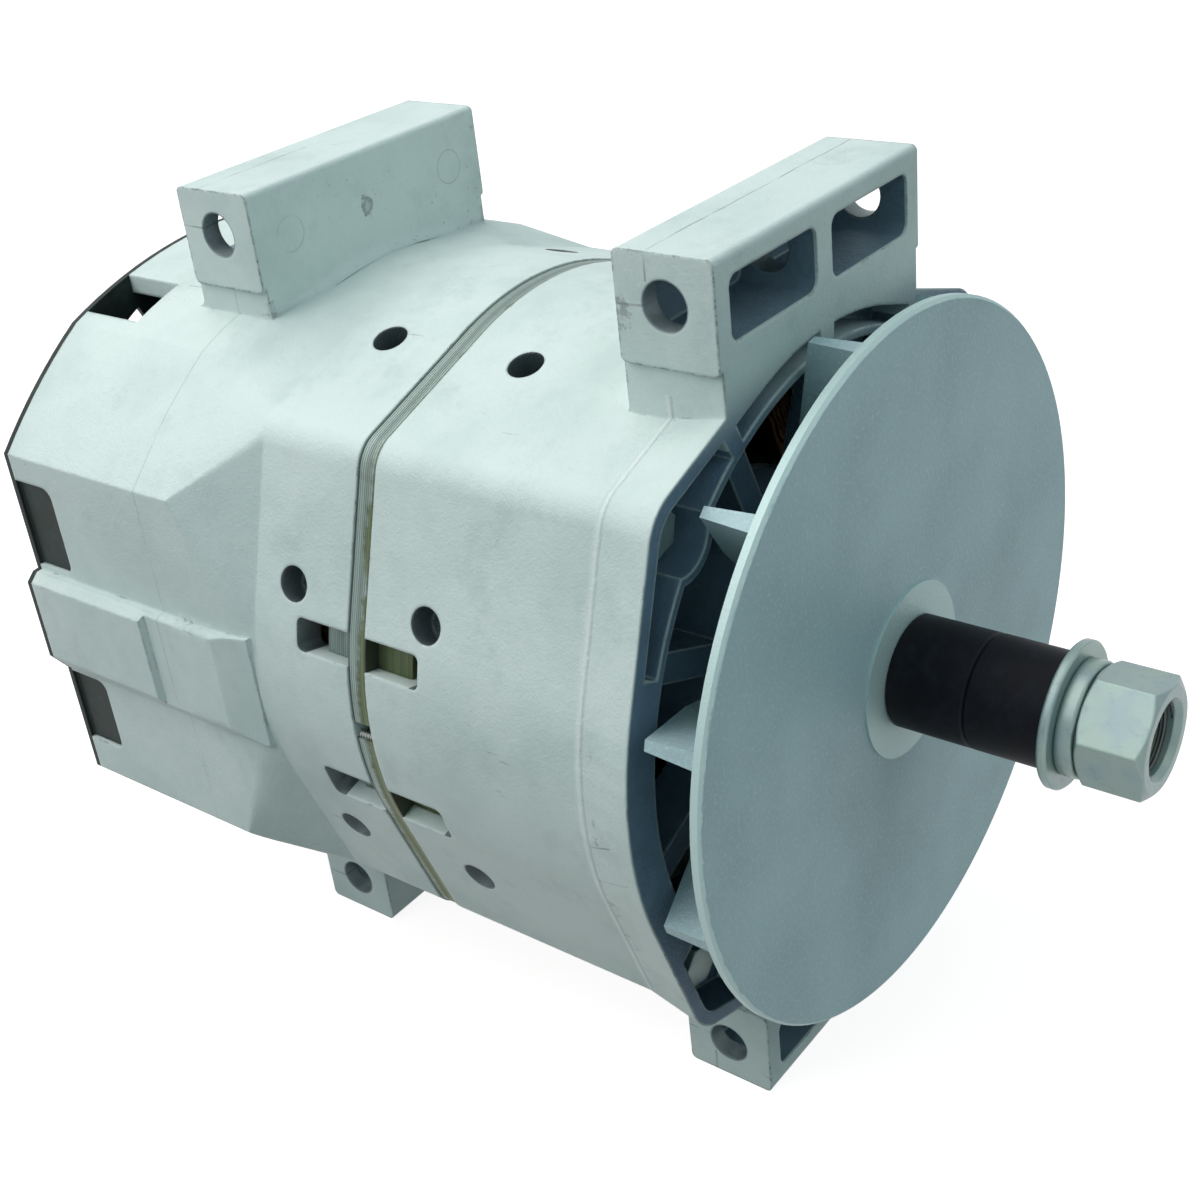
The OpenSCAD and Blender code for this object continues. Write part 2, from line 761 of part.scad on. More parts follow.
module flat_washer() color("silver")
    turned() polygon([[thread_d / 2 + 0.6, washer_y], [washer_r - 0.4, washer_y], [washer_r, washer_y + 0.4],
        [washer_r, sleeve_end_y - 0.4], [washer_r - 0.4, sleeve_end_y], [thread_d / 2 + 0.6, sleeve_end_y]]);

// Split ring, cut at a slant
module spring_washer() color("silver") {
    gap = 1.8;
    difference() {
        turned() translate([(spring_r + thread_d / 2 + 0.5) / 2, (spring_y + washer_y) / 2])
            round_rect(spring_r - thread_d / 2 - 0.5, spring_t, 0.6);
        around(140) translate([0, (spring_y + washer_y) / 2, 0]) rotate([35, 0, 0])
            translate([0, -20, -gap / 2]) cube([30, 40, gap]);
    }
}

// Tall hexagon nut with both ends chamfered
module shaft_nut() color("silver") {
    corner = nut_af / cos(30) / 2;
    chamfer = 1.5;
    difference() {
        intersection() {
            translate([0, nut_y, 0]) rotate([-90, 0, 0]) rotate([0, 0, 12]) cylinder(r = corner, h = nut_h, $fn = 6);
            turned() polygon([[0, nut_y], [nut_af / 2 - 0.4, nut_y], [corner + 0.3, nut_y + chamfer],
                [corner + 0.3, spring_y - chamfer], [nut_af / 2 - 0.4, spring_y], [0, spring_y]]);
        }
        turned() polygon([[0, nut_y - 1], [thread_d / 2 + 1.3, nut_y - 1], [thread_d / 2 + 1.3, nut_y],
            [thread_d / 2 + slip, nut_y + 1.3], [thread_d / 2 + slip, spring_y + 1], [0, spring_y + 1]]);
    }
}

brush_x = 7;
brush_top_z = 30;

// Moulded holder over the slip rings, with a foot on the bearing boss
module brush_holder() color("dimgray") {
    y0 = rb_y + rb[2] + 3;
    difference() {
        union() {
            translate([-11, y0, ring_r + 3]) cube([22, ring_y1 + 5 - y0, 32]);
            translate([-20, y0, 18]) cube([40, 4, 8]);
        }
        for (k = [0, 1]) translate([-brush_x / 2 - 0.4, ring_y0 + k * (ring_w + ring_gap) + 0.4, 0])
            cube([brush_x + 0.8, ring_w - 0.8, brush_top_z + 8]);
    }
}

module brushes() color("black")
    for (k = [0, 1]) difference() {
        translate([-brush_x / 2, ring_y0 + k * (ring_w + ring_gap) + 0.7, ring_r - 1])
            cube([brush_x, ring_w - 1.4, brush_top_z - ring_r]);
        rod(ring_r + 0.3, ring_y0 - 5, ring_y1 + 5);
    }

// Sealed regulator block on top of the brush holder
module regulator() color("dimgray") {
    y0 = rb_y + rb[2] + 6;
    z0 = ring_r + 35;
    translate([-27, y0, z0]) cube([54, 30, 16]);
    for (k = [0:4]) translate([-25 + k * 11.5, y0 + 1, z0 + 16 - eps]) cube([4, 28, 5]);
}

// One C-shaped rectifier plate that passes below the shaft
module rectifier_plate(y0, end_angle) {
    difference() {
        slab(y0, y0 + plate_t) intersection() {
            difference() {
                circle(r = plate_r1);
                circle(r = plate_r0);
            }
            sector(end_angle, -10);
        }
        for (a = diode_angles) around(a) translate([diode_pitch_r, 0, 0]) rod(diode_r, y0 - 1, y0 + plate_t + 1);
        for (a = post_angles) around(a) translate([post_pitch_r, 0, 0]) rod(2.2, y0 - 1, y0 + plate_t + 1);
        around(stud_angle) translate([diode_pitch_r, 0, 0]) rod(stud_r + 0.05, y0 - 1, y0 + plate_t + 1);
    }
}

module negative_plate() color("lightgray") rectifier_plate(neg_y, -164);
module positive_plate() color("lightgray") rectifier_plate(pos_y, -188);

// Insulating spacers between the two plates, on the posts
module plate_spacers() color("saddlebrown")
    for (a = post_angles) around(a) translate([post_pitch_r, 0, 0]) tube(post_r, 2.2, neg_y + plate_t, pos_y);

// Press-fit diodes, each with its lead
module diodes() color("silver")
    for (a = diode_angles, y = [neg_y, pos_y]) around(a) translate([diode_pitch_r, 0, 0]) {
        rod(diode_r - 0.05, y - 1.5, y + plate_t + 1.5);
        rod(0.9, y + plate_t + 1.5 - eps, y + plate_t + 4.5);
    }

// Output stud with its square head under the positive plate
module output_stud() color("goldenrod") around(stud_angle) translate([diode_pitch_r, 0, 0]) {
    rod(stud_r, pos_y, rear_end_y + cover_t + stud_out);
    translate([-6, pos_y - 3, -6]) cube([12, 3, 12]);
}

module stud_insulator() color("firebrick") around(stud_angle) translate([diode_pitch_r, 0, 0]) {
    tube(10, stud_r + slip, rear_end_y + cover_t, rear_end_y + cover_t + 6);
    tube(7, stud_r + slip, pos_y + plate_t, rear_end_y + cover_t + eps);
}

module stud_nuts() color("goldenrod") around(stud_angle) translate([diode_pitch_r, 0, 0]) {
    y0 = rear_end_y + cover_t + 6;
    difference() {
        translate([0, y0, 0]) rotate([-90, 0, 0]) cylinder(d = 13 / cos(30), h = 6, $fn = 6);
        rod(stud_r + slip, y0 - 1, y0 + 7);
    }
}

// Ground stud screwed into a boss on the wall behind the rotor
module ground_stud() color("silver") around(ground_angle) translate([diode_pitch_r, 0, 0]) {
    rod(3, web_y + web_t, rear_end_y + cover_t + 15);
    rod(5, web_y + web_t, rear_end_y - 6);
}

// Thin dark cover that follows the rear edge, with arc-shaped air openings and tabs in the side windows
module rear_cover() color([0.12, 0.12, 0.13]) {
    y0 = rear_end_y;
    difference() {
        union() {
            slab(y0, y0 + cover_t) {
                box_outline();
                rib_profile();
            }
            cover_tabs();
        }
        for (k = [0:2 * spoke_count - 1]) slab(y0 - 1, y0 + cover_t + 1) intersection() {
            difference() {
                circle(r = vent_r1);
                circle(r = vent_r0);
            }
            sector((k + 0.12) * spoke_step / 2, (k + 0.88) * spoke_step / 2);
        }
        for (p = cover_boss_at) translate([p[0], 0, p[1]]) rod(2.6, y0 - 1, y0 + cover_t + 1);
        around(stud_angle) translate([diode_pitch_r, 0, 0]) rod(7.3, y0 - 1, y0 + cover_t + 1);
        around(ground_angle) translate([diode_pitch_r, 0, 0]) rod(3.4, y0 - 1, y0 + cover_t + 1);
    }
}

module cover_tabs() {
    set_back = 1;
    intersection() {
        for (span = window_spans, s = [-1, 1])
            window_block(span, s * (box_half_w - set_back - cover_t / 2) - cover_t / 2,
                s * (box_half_w - set_back - cover_t / 2) + cover_t / 2, 0.3);
        slab(window_y0, rear_end_y + cover_t / 2) square(4 * box_half_w, center = true);
    }
}

module cover_screws() color("silver")
    for (p = cover_boss_at) translate([p[0], 0, p[1]]) {
        rod(2, rear_end_y - 12, rear_end_y + cover_t + eps);
        translate([0, rear_end_y + cover_t, 0]) rotate([-90, 0, 0]) cylinder(d = 8 / cos(30), h = 3, $fn = 6);
    }

drive_end_frame();
rear_frame();
stator_core();
front_end_turns();
rear_end_turns();
through_bolts();
bearing_retainer();
retainer_screws();
front_outer_race();
front_inner_race();
front_balls();
front_cage();
rear_outer_race();
rear_inner_race();
rear_balls();
rear_cage();
shaft();
front_pole();
rear_pole();
field_coil();
slip_rings();
fan();
inner_sleeve();
outer_sleeve();
flat_washer();
spring_washer();
shaft_nut();
brush_holder();
brushes();
regulator();
negative_plate();
positive_plate();
plate_spacers();
diodes();
output_stud();
stud_insulator();
stud_nuts();
ground_stud();
rear_cover();
cover_screws();
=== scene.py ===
import json
import math

import bmesh
import bpy
from bpy.props import FloatProperty, FloatVectorProperty, IntProperty, PointerProperty
from bpy.types import Operator, Panel, PropertyGroup
from mathutils import Matrix, Vector


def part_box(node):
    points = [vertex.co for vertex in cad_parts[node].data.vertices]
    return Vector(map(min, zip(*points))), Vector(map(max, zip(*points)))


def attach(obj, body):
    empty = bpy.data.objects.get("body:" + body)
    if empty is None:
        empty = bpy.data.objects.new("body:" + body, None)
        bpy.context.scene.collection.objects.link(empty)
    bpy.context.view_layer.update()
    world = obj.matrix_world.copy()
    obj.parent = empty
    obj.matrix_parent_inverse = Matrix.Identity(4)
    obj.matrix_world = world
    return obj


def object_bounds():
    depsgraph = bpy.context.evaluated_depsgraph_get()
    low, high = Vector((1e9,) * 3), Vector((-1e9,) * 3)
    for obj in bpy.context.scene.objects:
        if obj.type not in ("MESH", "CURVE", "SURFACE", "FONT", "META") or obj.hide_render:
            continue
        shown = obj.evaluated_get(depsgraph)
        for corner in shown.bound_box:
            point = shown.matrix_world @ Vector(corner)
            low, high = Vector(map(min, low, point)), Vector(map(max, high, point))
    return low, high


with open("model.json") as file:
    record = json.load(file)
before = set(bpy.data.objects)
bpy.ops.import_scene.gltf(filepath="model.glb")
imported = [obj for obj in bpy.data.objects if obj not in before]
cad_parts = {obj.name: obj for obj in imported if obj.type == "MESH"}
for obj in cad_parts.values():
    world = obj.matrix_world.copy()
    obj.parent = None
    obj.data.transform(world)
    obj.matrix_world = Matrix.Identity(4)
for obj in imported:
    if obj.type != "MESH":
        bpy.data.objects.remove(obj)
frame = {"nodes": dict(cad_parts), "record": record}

bl_info = {
    "name": "Truck Alternator Finish",
    "version": (1, 0, 0),
    "blender": (4, 5, 0),
    "location": "View3D > Sidebar > Alternator",
    "description": "Finishes, small details, light and camera for a pad-mount truck alternator",
    "category": "Object",
}

CAD_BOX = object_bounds()
NODES = frame["nodes"]
BORES = [m for m in frame["record"]["mounts"] if m["kind"] == "bore"]
MM = 0.001

# Places on the castings. Y is counted along the shaft, radius and height from its axis, X to the sides.
BORE_RADIUS = BORES[0]["dims"]["r_mm"] * MM
BORE_HEIGHT = abs(BORES[0]["pos_m"][2])
FRONT_BORE_Y, REAR_BORE_Y = sorted({round(m["pos_m"][1], 5) for m in BORES})
REAR_BAR_FACE_Y = REAR_BORE_Y - 11.75 * MM
BAR_END_X = 39.5 * MM
BAR_FOOT_RADIUS = 81.5 * MM
BAR_FOOT_ROUNDING = 3.6 * MM
NECK_HEIGHT = 76 * MM
FLANK_RADIUS = 79 * MM
BELL_RADIUS = 76.5 * MM
CREST_Y = 32.6 * MM
HOLE_ROWS_Y = (74.85 * MM, 114.85 * MM)
HOLE_FLOOR_RADIUS = 79.1 * MM
WINDOW_X, WINDOW_HALF_X = 18.6 * MM, 16.3 * MM
WINDOW_HEIGHT, WINDOW_HALF_HEIGHT = 94.0 * MM, 8.5 * MM
WINDOWS_Y = (19.0 * MM + 10.8 * MM, 169.5 * MM - 10.8 * MM)
PIN_MARKS_X, PIN_MARK_HEIGHT, PIN_MARK_RADIUS = (-28 * MM, 28 * MM), 93 * MM, 4.2 * MM

# Damage on the castings: x, y, z and radius of two spots, then height and front end of two scratches
TORN_SPOT = (-2.4 * MM, 146.0 * MM, 92.0 * MM, 2.9 * MM)
STAIN = (-39.5 * MM, 40.8 * MM, 92.5 * MM, 3.4 * MM)
SCRATCHES = ((5.3 * MM, 25.5 * MM), (-4.9 * MM, 22.0 * MM))

# Sizes of the fan and the nut
FAN_HUB_RADIUS, FAN_HUB_FACE_Y = 20.7 * MM, 0.8 * MM
NUT_BORE_RADIUS = 8.0 * MM

# Colours of the painted highlight on the crest, of worn edges and dirt, of the painted shadow at the
# core band's edges, and of the pieces inside
CREST_HIGHLIGHT = (0.80, 0.84, 0.82)
WORN_SLEEVE = (0.07, 0.075, 0.08)
WORN_COVER = (0.16, 0.17, 0.16)
CORE_STAIN = (0.11, 0.12, 0.05)
CORE_JOINT = (0.045, 0.045, 0.035)
CORE_EDGE_SHADOW = (0.03, 0.035, 0.03)
SEEN_FLOOR = (0.50, 0.42, 0.41)
PLAIN_COLORS = {
    "plate_aluminium": (0.6, 0.62, 0.62),
    "copper_wire": (0.62, 0.27, 0.12),
    "pole_steel": (0.16, 0.165, 0.18),
    "ring_copper": (0.72, 0.38, 0.22),
    "shaft_steel": (0.30, 0.32, 0.32),
    "brass_stud": (0.72, 0.52, 0.24),
    "bearing_steel": (0.70, 0.71, 0.73),
    "cage_steel": (0.5, 0.48, 0.43),
    "black_plastic": (0.02, 0.02, 0.022),
    "carbon": (0.03, 0.03, 0.03),
    "red_insulator": (0.42, 0.05, 0.035),
    # Painted shade: the nut's thread is painted dark for the shade inside the nut
    "shaded_thread_steel": (0.10, 0.11, 0.105),
    "weld_steel": (0.36, 0.38, 0.36),
}


# Sizes and colours that a user may change

class CameraSettings(PropertyGroup):
    """Where the camera stands, in the shaft's frame"""
    location: FloatVectorProperty(
        name="Location", description="Camera position", size=3, subtype="TRANSLATION", unit="LENGTH",
        default=(-0.28796, -0.15571, 0.20828))
    azimuth: FloatProperty(
        name="Azimuth", description="Direction of view round the upright axis", subtype="ANGLE",
        default=math.radians(-49.66))
    elevation: FloatProperty(
        name="Elevation", description="Height of the view above the horizon", subtype="ANGLE",
        default=math.radians(29.48))
    roll: FloatProperty(
        name="Roll", description="Tilt of the camera about its own axis", subtype="ANGLE",
        default=math.radians(-6.70))
    lens: FloatProperty(
        name="Lens", description="Focal length in millimetres", default=51.33, min=10, max=200)


class StageSettings(PropertyGroup):
    """Floor, backdrop and lamps"""
    floor_color: FloatVectorProperty(
        name="Floor", description="Colour of the floor where it lights the product", size=3,
        subtype="COLOR",
        default=(0.13, 0.135, 0.135))
    floor_glow: FloatProperty(
        name="Floor glow", description="Light that the camera sees from the floor itself", default=0.86)
    key_power: FloatProperty(
        name="Key", description="Power of the lamp at the left", unit="POWER", default=6.0)
    top_power: FloatProperty(
        name="Top", description="Power of the lamp overhead", unit="POWER", default=9.2)
    front_power: FloatProperty(
        name="Front", description="Power of the lamp at the drive end", unit="POWER", default=1.5)
    lamp_color: FloatVectorProperty(
        name="Lamp colour", description="Colour of the lamps at the left and overhead", size=3,
        subtype="COLOR",
        default=(1.0, 0.945, 0.935))
    sky_strength: FloatProperty(
        name="Sky", description="Strength of the even light all round", default=0.45)
    sky_color: FloatVectorProperty(
        name="Sky colour", description="Colour of the even light", size=3, subtype="COLOR",
        default=(0.63, 0.93, 1.0))


class CastingSettings(PropertyGroup):
    """As-cast aluminium of the frames"""
    color: FloatVectorProperty(
        name="Colour", description="Colour of the cast frames", size=3, subtype="COLOR",
        default=(0.668, 0.75, 0.715))
    shade_color: FloatVectorProperty(
        name="Cloud colour", description="Colour of the darker clouds on the castings", size=3,
        subtype="COLOR",
        default=(0.535, 0.63, 0.60))
    scuff_color: FloatVectorProperty(
        name="Scuff colour", description="Colour of handling marks", size=3, subtype="COLOR",
        default=(0.12, 0.13, 0.13))
    # Painted shade: the colour painted on the face behind the fan and in the bars' windows, where they
    # lie in shade
    painted_shade_color: FloatVectorProperty(
        name="Recess colour", description="Colour of the dull face behind the fan", size=3,
        subtype="COLOR", default=(0.165, 0.255, 0.345))
    drilled_color: FloatVectorProperty(
        name="Drilled colour", description="Colour of the drilled holes", size=3, subtype="COLOR",
        default=(0.24, 0.30, 0.31))
    grain: FloatProperty(
        name="Grain", description="Size of the casting's grain", unit="LENGTH",
        default=0.6 * MM, precision=5)
    edge: FloatProperty(
        name="Cast edge", description="Radius of the castings' soft edges", unit="LENGTH",
        default=1.1 * MM, precision=5)
    parting_y: FloatProperty(
        name="Parting line", description="Place of the rear frame's parting line along the shaft",
        unit="LENGTH",
        default=157.5 * MM, precision=5)


class FanSettings(PropertyGroup):
    """Cast fan"""
    color: FloatVectorProperty(
        name="Colour", description="Colour of the fan", size=3, subtype="COLOR",
        default=(0.43, 0.575, 0.598))
    rim_color: FloatVectorProperty(
        name="Rim colour", description="Colour of the turned hub face and the rim's edge", size=3,
        subtype="COLOR",
        default=(0.46, 0.60, 0.59))


class SteelSettings(PropertyGroup):
    """Plated, blackened and laminated steel"""
    zinc_color: FloatVectorProperty(
        name="Zinc", description="Colour of plated fasteners", size=3, subtype="COLOR",
        default=(0.29, 0.385, 0.35))
    zinc_tint: FloatVectorProperty(
        name="Zinc tint", description="Colour of the plating's faint tint", size=3, subtype="COLOR",
        default=(0.26, 0.35, 0.36))
    # The sleeves' faint blue tint is a painted sheen
    black_color: FloatVectorProperty(
        name="Sleeves", description="Colour of the sleeves", size=3, subtype="COLOR",
        default=(0.006, 0.007, 0.010))
    cover_color: FloatVectorProperty(
        name="Cover", description="Colour of the rear cover", size=3, subtype="COLOR",
        default=(0.018, 0.027, 0.025))
    sheet_color: FloatVectorProperty(
        name="Sheet steel", description="Colour of the core's edge", size=3, subtype="COLOR",
        default=(0.29, 0.375, 0.345))
    varnish_color: FloatVectorProperty(
        name="Varnish", description="Colour of the varnish on the core's edge", size=3, subtype="COLOR",
        default=(0.125, 0.17, 0.075))
    sheet_thickness: FloatProperty(
        name="Sheet", description="Thickness of one core sheet", unit="LENGTH",
        default=0.6 * MM, precision=5)


class ThreadSettings(PropertyGroup):
    """Threads that the fasteners show"""
    shaft_pitch: FloatProperty(
        name="Shaft pitch", description="Pitch of the shaft's thread", unit="LENGTH",
        default=1.41 * MM, precision=5)
    stud_radius: FloatProperty(
        name="Stud radius", description="Radius of the output stud", unit="LENGTH",
        default=4.0 * MM, precision=5)
    ground_radius: FloatProperty(
        name="Ground radius", description="Radius of the ground stud", unit="LENGTH",
        default=3.0 * MM, precision=5)
    stud_pitch: FloatProperty(
        name="Stud pitch", description="Pitch of the studs' threads", unit="LENGTH",
        default=1.25 * MM, precision=5)
    depth: FloatProperty(
        name="Depth", description="Depth of the nut's thread, twice that of the studs", unit="LENGTH",
        default=0.6 * MM, precision=5)
    steps: IntProperty(
        name="Steps", description="Points in each turn of a thread", default=36, min=12, max=96)


class WeldSettings(PropertyGroup):
    """Weld beads on the core"""
    start_y: FloatProperty(
        name="Start", description="Front end of the bead along the shaft", unit="LENGTH",
        default=92.4 * MM, precision=5)
    end_y: FloatProperty(
        name="End", description="Rear end of the bead along the shaft", unit="LENGTH",
        default=97.3 * MM, precision=5)
    place_x: FloatProperty(
        name="Depth", description="Place of the bead across the shaft", unit="LENGTH",
        default=77.9 * MM, precision=5)
    place_z: FloatProperty(
        name="Height", description="Height of the bead above the shaft, on the side of +X",
        unit="LENGTH", default=1.7 * MM, precision=5)
    radius: FloatProperty(
        name="Radius", description="Radius of the bead", unit="LENGTH", default=0.75 * MM, precision=5)
    ripple: FloatProperty(
        name="Ripple", description="Distance between two ripples", unit="LENGTH",
        default=0.8 * MM, precision=5)


# Node helpers

def node(tree, kind, **settings):
    """Adds a shader node and sets its properties, or its inputs where the name is an input's."""
    made = tree.nodes.new(kind)
    for name, value in settings.items():
        if hasattr(made, name):
            setattr(made, name, value)
        else:
            made.inputs[name.replace("_", " ")].default_value = value
    return made


def connect(tree, source, target):
    tree.links.new(source, target)


def start(name):
    """A material with a principled shader, and its object coordinates in metres."""
    made = bpy.data.materials.new(name)
    made.use_nodes = True
    tree = made.node_tree
    shader = tree.nodes["Principled BSDF"]
    place = node(tree, "ShaderNodeTexCoord").outputs["Object"]
    return made, tree, shader, place


def stretched(tree, place, x, y, z):
    """Coordinates whose patterns come out that many times longer along each axis."""
    made = node(tree, "ShaderNodeMapping")
    made.inputs["Scale"].default_value = (1.0 / x, 1.0 / y, 1.0 / z)
    connect(tree, place, made.inputs["Vector"])
    return made.outputs["Vector"]


def noise(tree, place, size, detail=3.0, roughness=0.5, distortion=0.0):
    """Noise whose features are about size metres across."""
    made = node(tree, "ShaderNodeTexNoise", Scale=1.0 / size, Detail=detail, Roughness=roughness,
                Distortion=distortion)
    connect(tree, place, made.inputs["Vector"])
    return made.outputs["Fac"]


def ramp(tree, factor, low, high):
    """Maps low to 0 and high to 1, and clamps."""
    made = node(tree, "ShaderNodeMapRange", interpolation_type="SMOOTHSTEP")
    made.inputs["From Min"].default_value = low
    made.inputs["From Max"].default_value = high
    connect(tree, factor, made.inputs["Value"])
    return made.outputs["Result"]


def spread(tree, factor, low, high):
    """Turns a factor from 0 to 1 into a value from low to high."""
    made = node(tree, "ShaderNodeMapRange")
    made.inputs["To Min"].default_value = low
    made.inputs["To Max"].default_value = high
    connect(tree, factor, made.inputs["Value"])
    return made.outputs["Result"]


def math_node(tree, operation, first, second=None):
    """One step of arithmetic, on sockets and numbers."""
    made = node(tree, "ShaderNodeMath", operation=operation)
    for socket, value in zip(made.inputs, (first, second)):
        if isinstance(value, (int, float)):
            socket.default_value = value
        elif value is not None:
            connect(tree, value, socket)
    return made.outputs[0]


# Arithmetic

def plus(tree, first, second):
    return math_node(tree, "ADD", first, second)


def minus(tree, first, second):
    return math_node(tree, "SUBTRACT", first, second)


def times(tree, first, second):
    return math_node(tree, "MULTIPLY", first, second)


def ratio(tree, first, second):
    return math_node(tree, "DIVIDE", first, second)


def larger(tree, first, second):
    return math_node(tree, "MAXIMUM", first, second)


def absolute(tree, value):
    return math_node(tree, "ABSOLUTE", value)


def less_than(tree, first, second):
    """1 where the first is less than the second."""
    return math_node(tree, "LESS_THAN", first, second)


def more_than(tree, first, second):
    """1 where the first is more than the second."""
    return math_node(tree, "GREATER_THAN", first, second)


# Colours, relief and places

def scaled(color, factor):
    """A darker or lighter colour."""
    return tuple(min(1.0, part * factor) for part in color)


def blend(tree, factor, first, second):
    """Mixes two colours, each a socket or three numbers."""
    made = node(tree, "ShaderNodeMix", data_type="RGBA", blend_type="MIX")
    connect(tree, factor, made.inputs["Factor"])
    sockets = [s for s in made.inputs if s.type == "RGBA"]
    for socket, value in zip(sockets, (first, second)):
        if isinstance(value, bpy.types.NodeSocket):
            connect(tree, value, socket)
        else:
            socket.default_value = (*value, 1.0)
    return [s for s in made.outputs if s.type == "RGBA"][0]


def relief(tree, height, distance, strength, below=None):
    """A bump of that height in metres, on top of another bump."""
    made = node(tree, "ShaderNodeBump", Strength=strength, Distance=distance)
    connect(tree, height, made.inputs["Height"])
    if below is not None:
        connect(tree, below, made.inputs["Normal"])
    return made.outputs["Normal"]


def coordinates(tree, place):
    """The three parts of a vector."""
    made = node(tree, "ShaderNodeSeparateXYZ")
    connect(tree, place, made.inputs[0])
    return made.outputs["X"], made.outputs["Y"], made.outputs["Z"]


def length_of(tree, first, second):
    """Length of a two-part vector."""
    squares = [times(tree, value, value) for value in (first, second)]
    return math_node(tree, "SQRT", plus(tree, *squares))


def edges(tree, width):
    """1 on edges and 0 on flats, and the normal with edges rounded by a width, number or socket."""
    rounded = node(tree, "ShaderNodeBevel", samples=6)
    if isinstance(width, float):
        rounded.inputs["Radius"].default_value = width
    else:
        connect(tree, width, rounded.inputs["Radius"])
    true = node(tree, "ShaderNodeNewGeometry")
    dot = node(tree, "ShaderNodeVectorMath", operation="DOT_PRODUCT")
    connect(tree, rounded.outputs[0], dot.inputs[0])
    connect(tree, true.outputs["Normal"], dot.inputs[1])
    return ramp(tree, minus(tree, 1.0, dot.outputs["Value"]), 0.02, 0.12), rounded.outputs[0]


def near(tree, value, middle, half):
    """1 where a value lies within half of the middle."""
    return less_than(tree, absolute(tree, minus(tree, value, middle)), half)


def outward(tree, x, z):
    """Distance from the shaft's axis, how squarely a surface faces away from it, and its normal's Y."""
    across, along, up = coordinates(tree, node(tree, "ShaderNodeTexCoord").outputs["Normal"])
    radius = length_of(tree, x, z)
    dot = plus(tree, times(tree, across, x), times(tree, up, z))
    return radius, ratio(tree, dot, radius), along


# Finishes

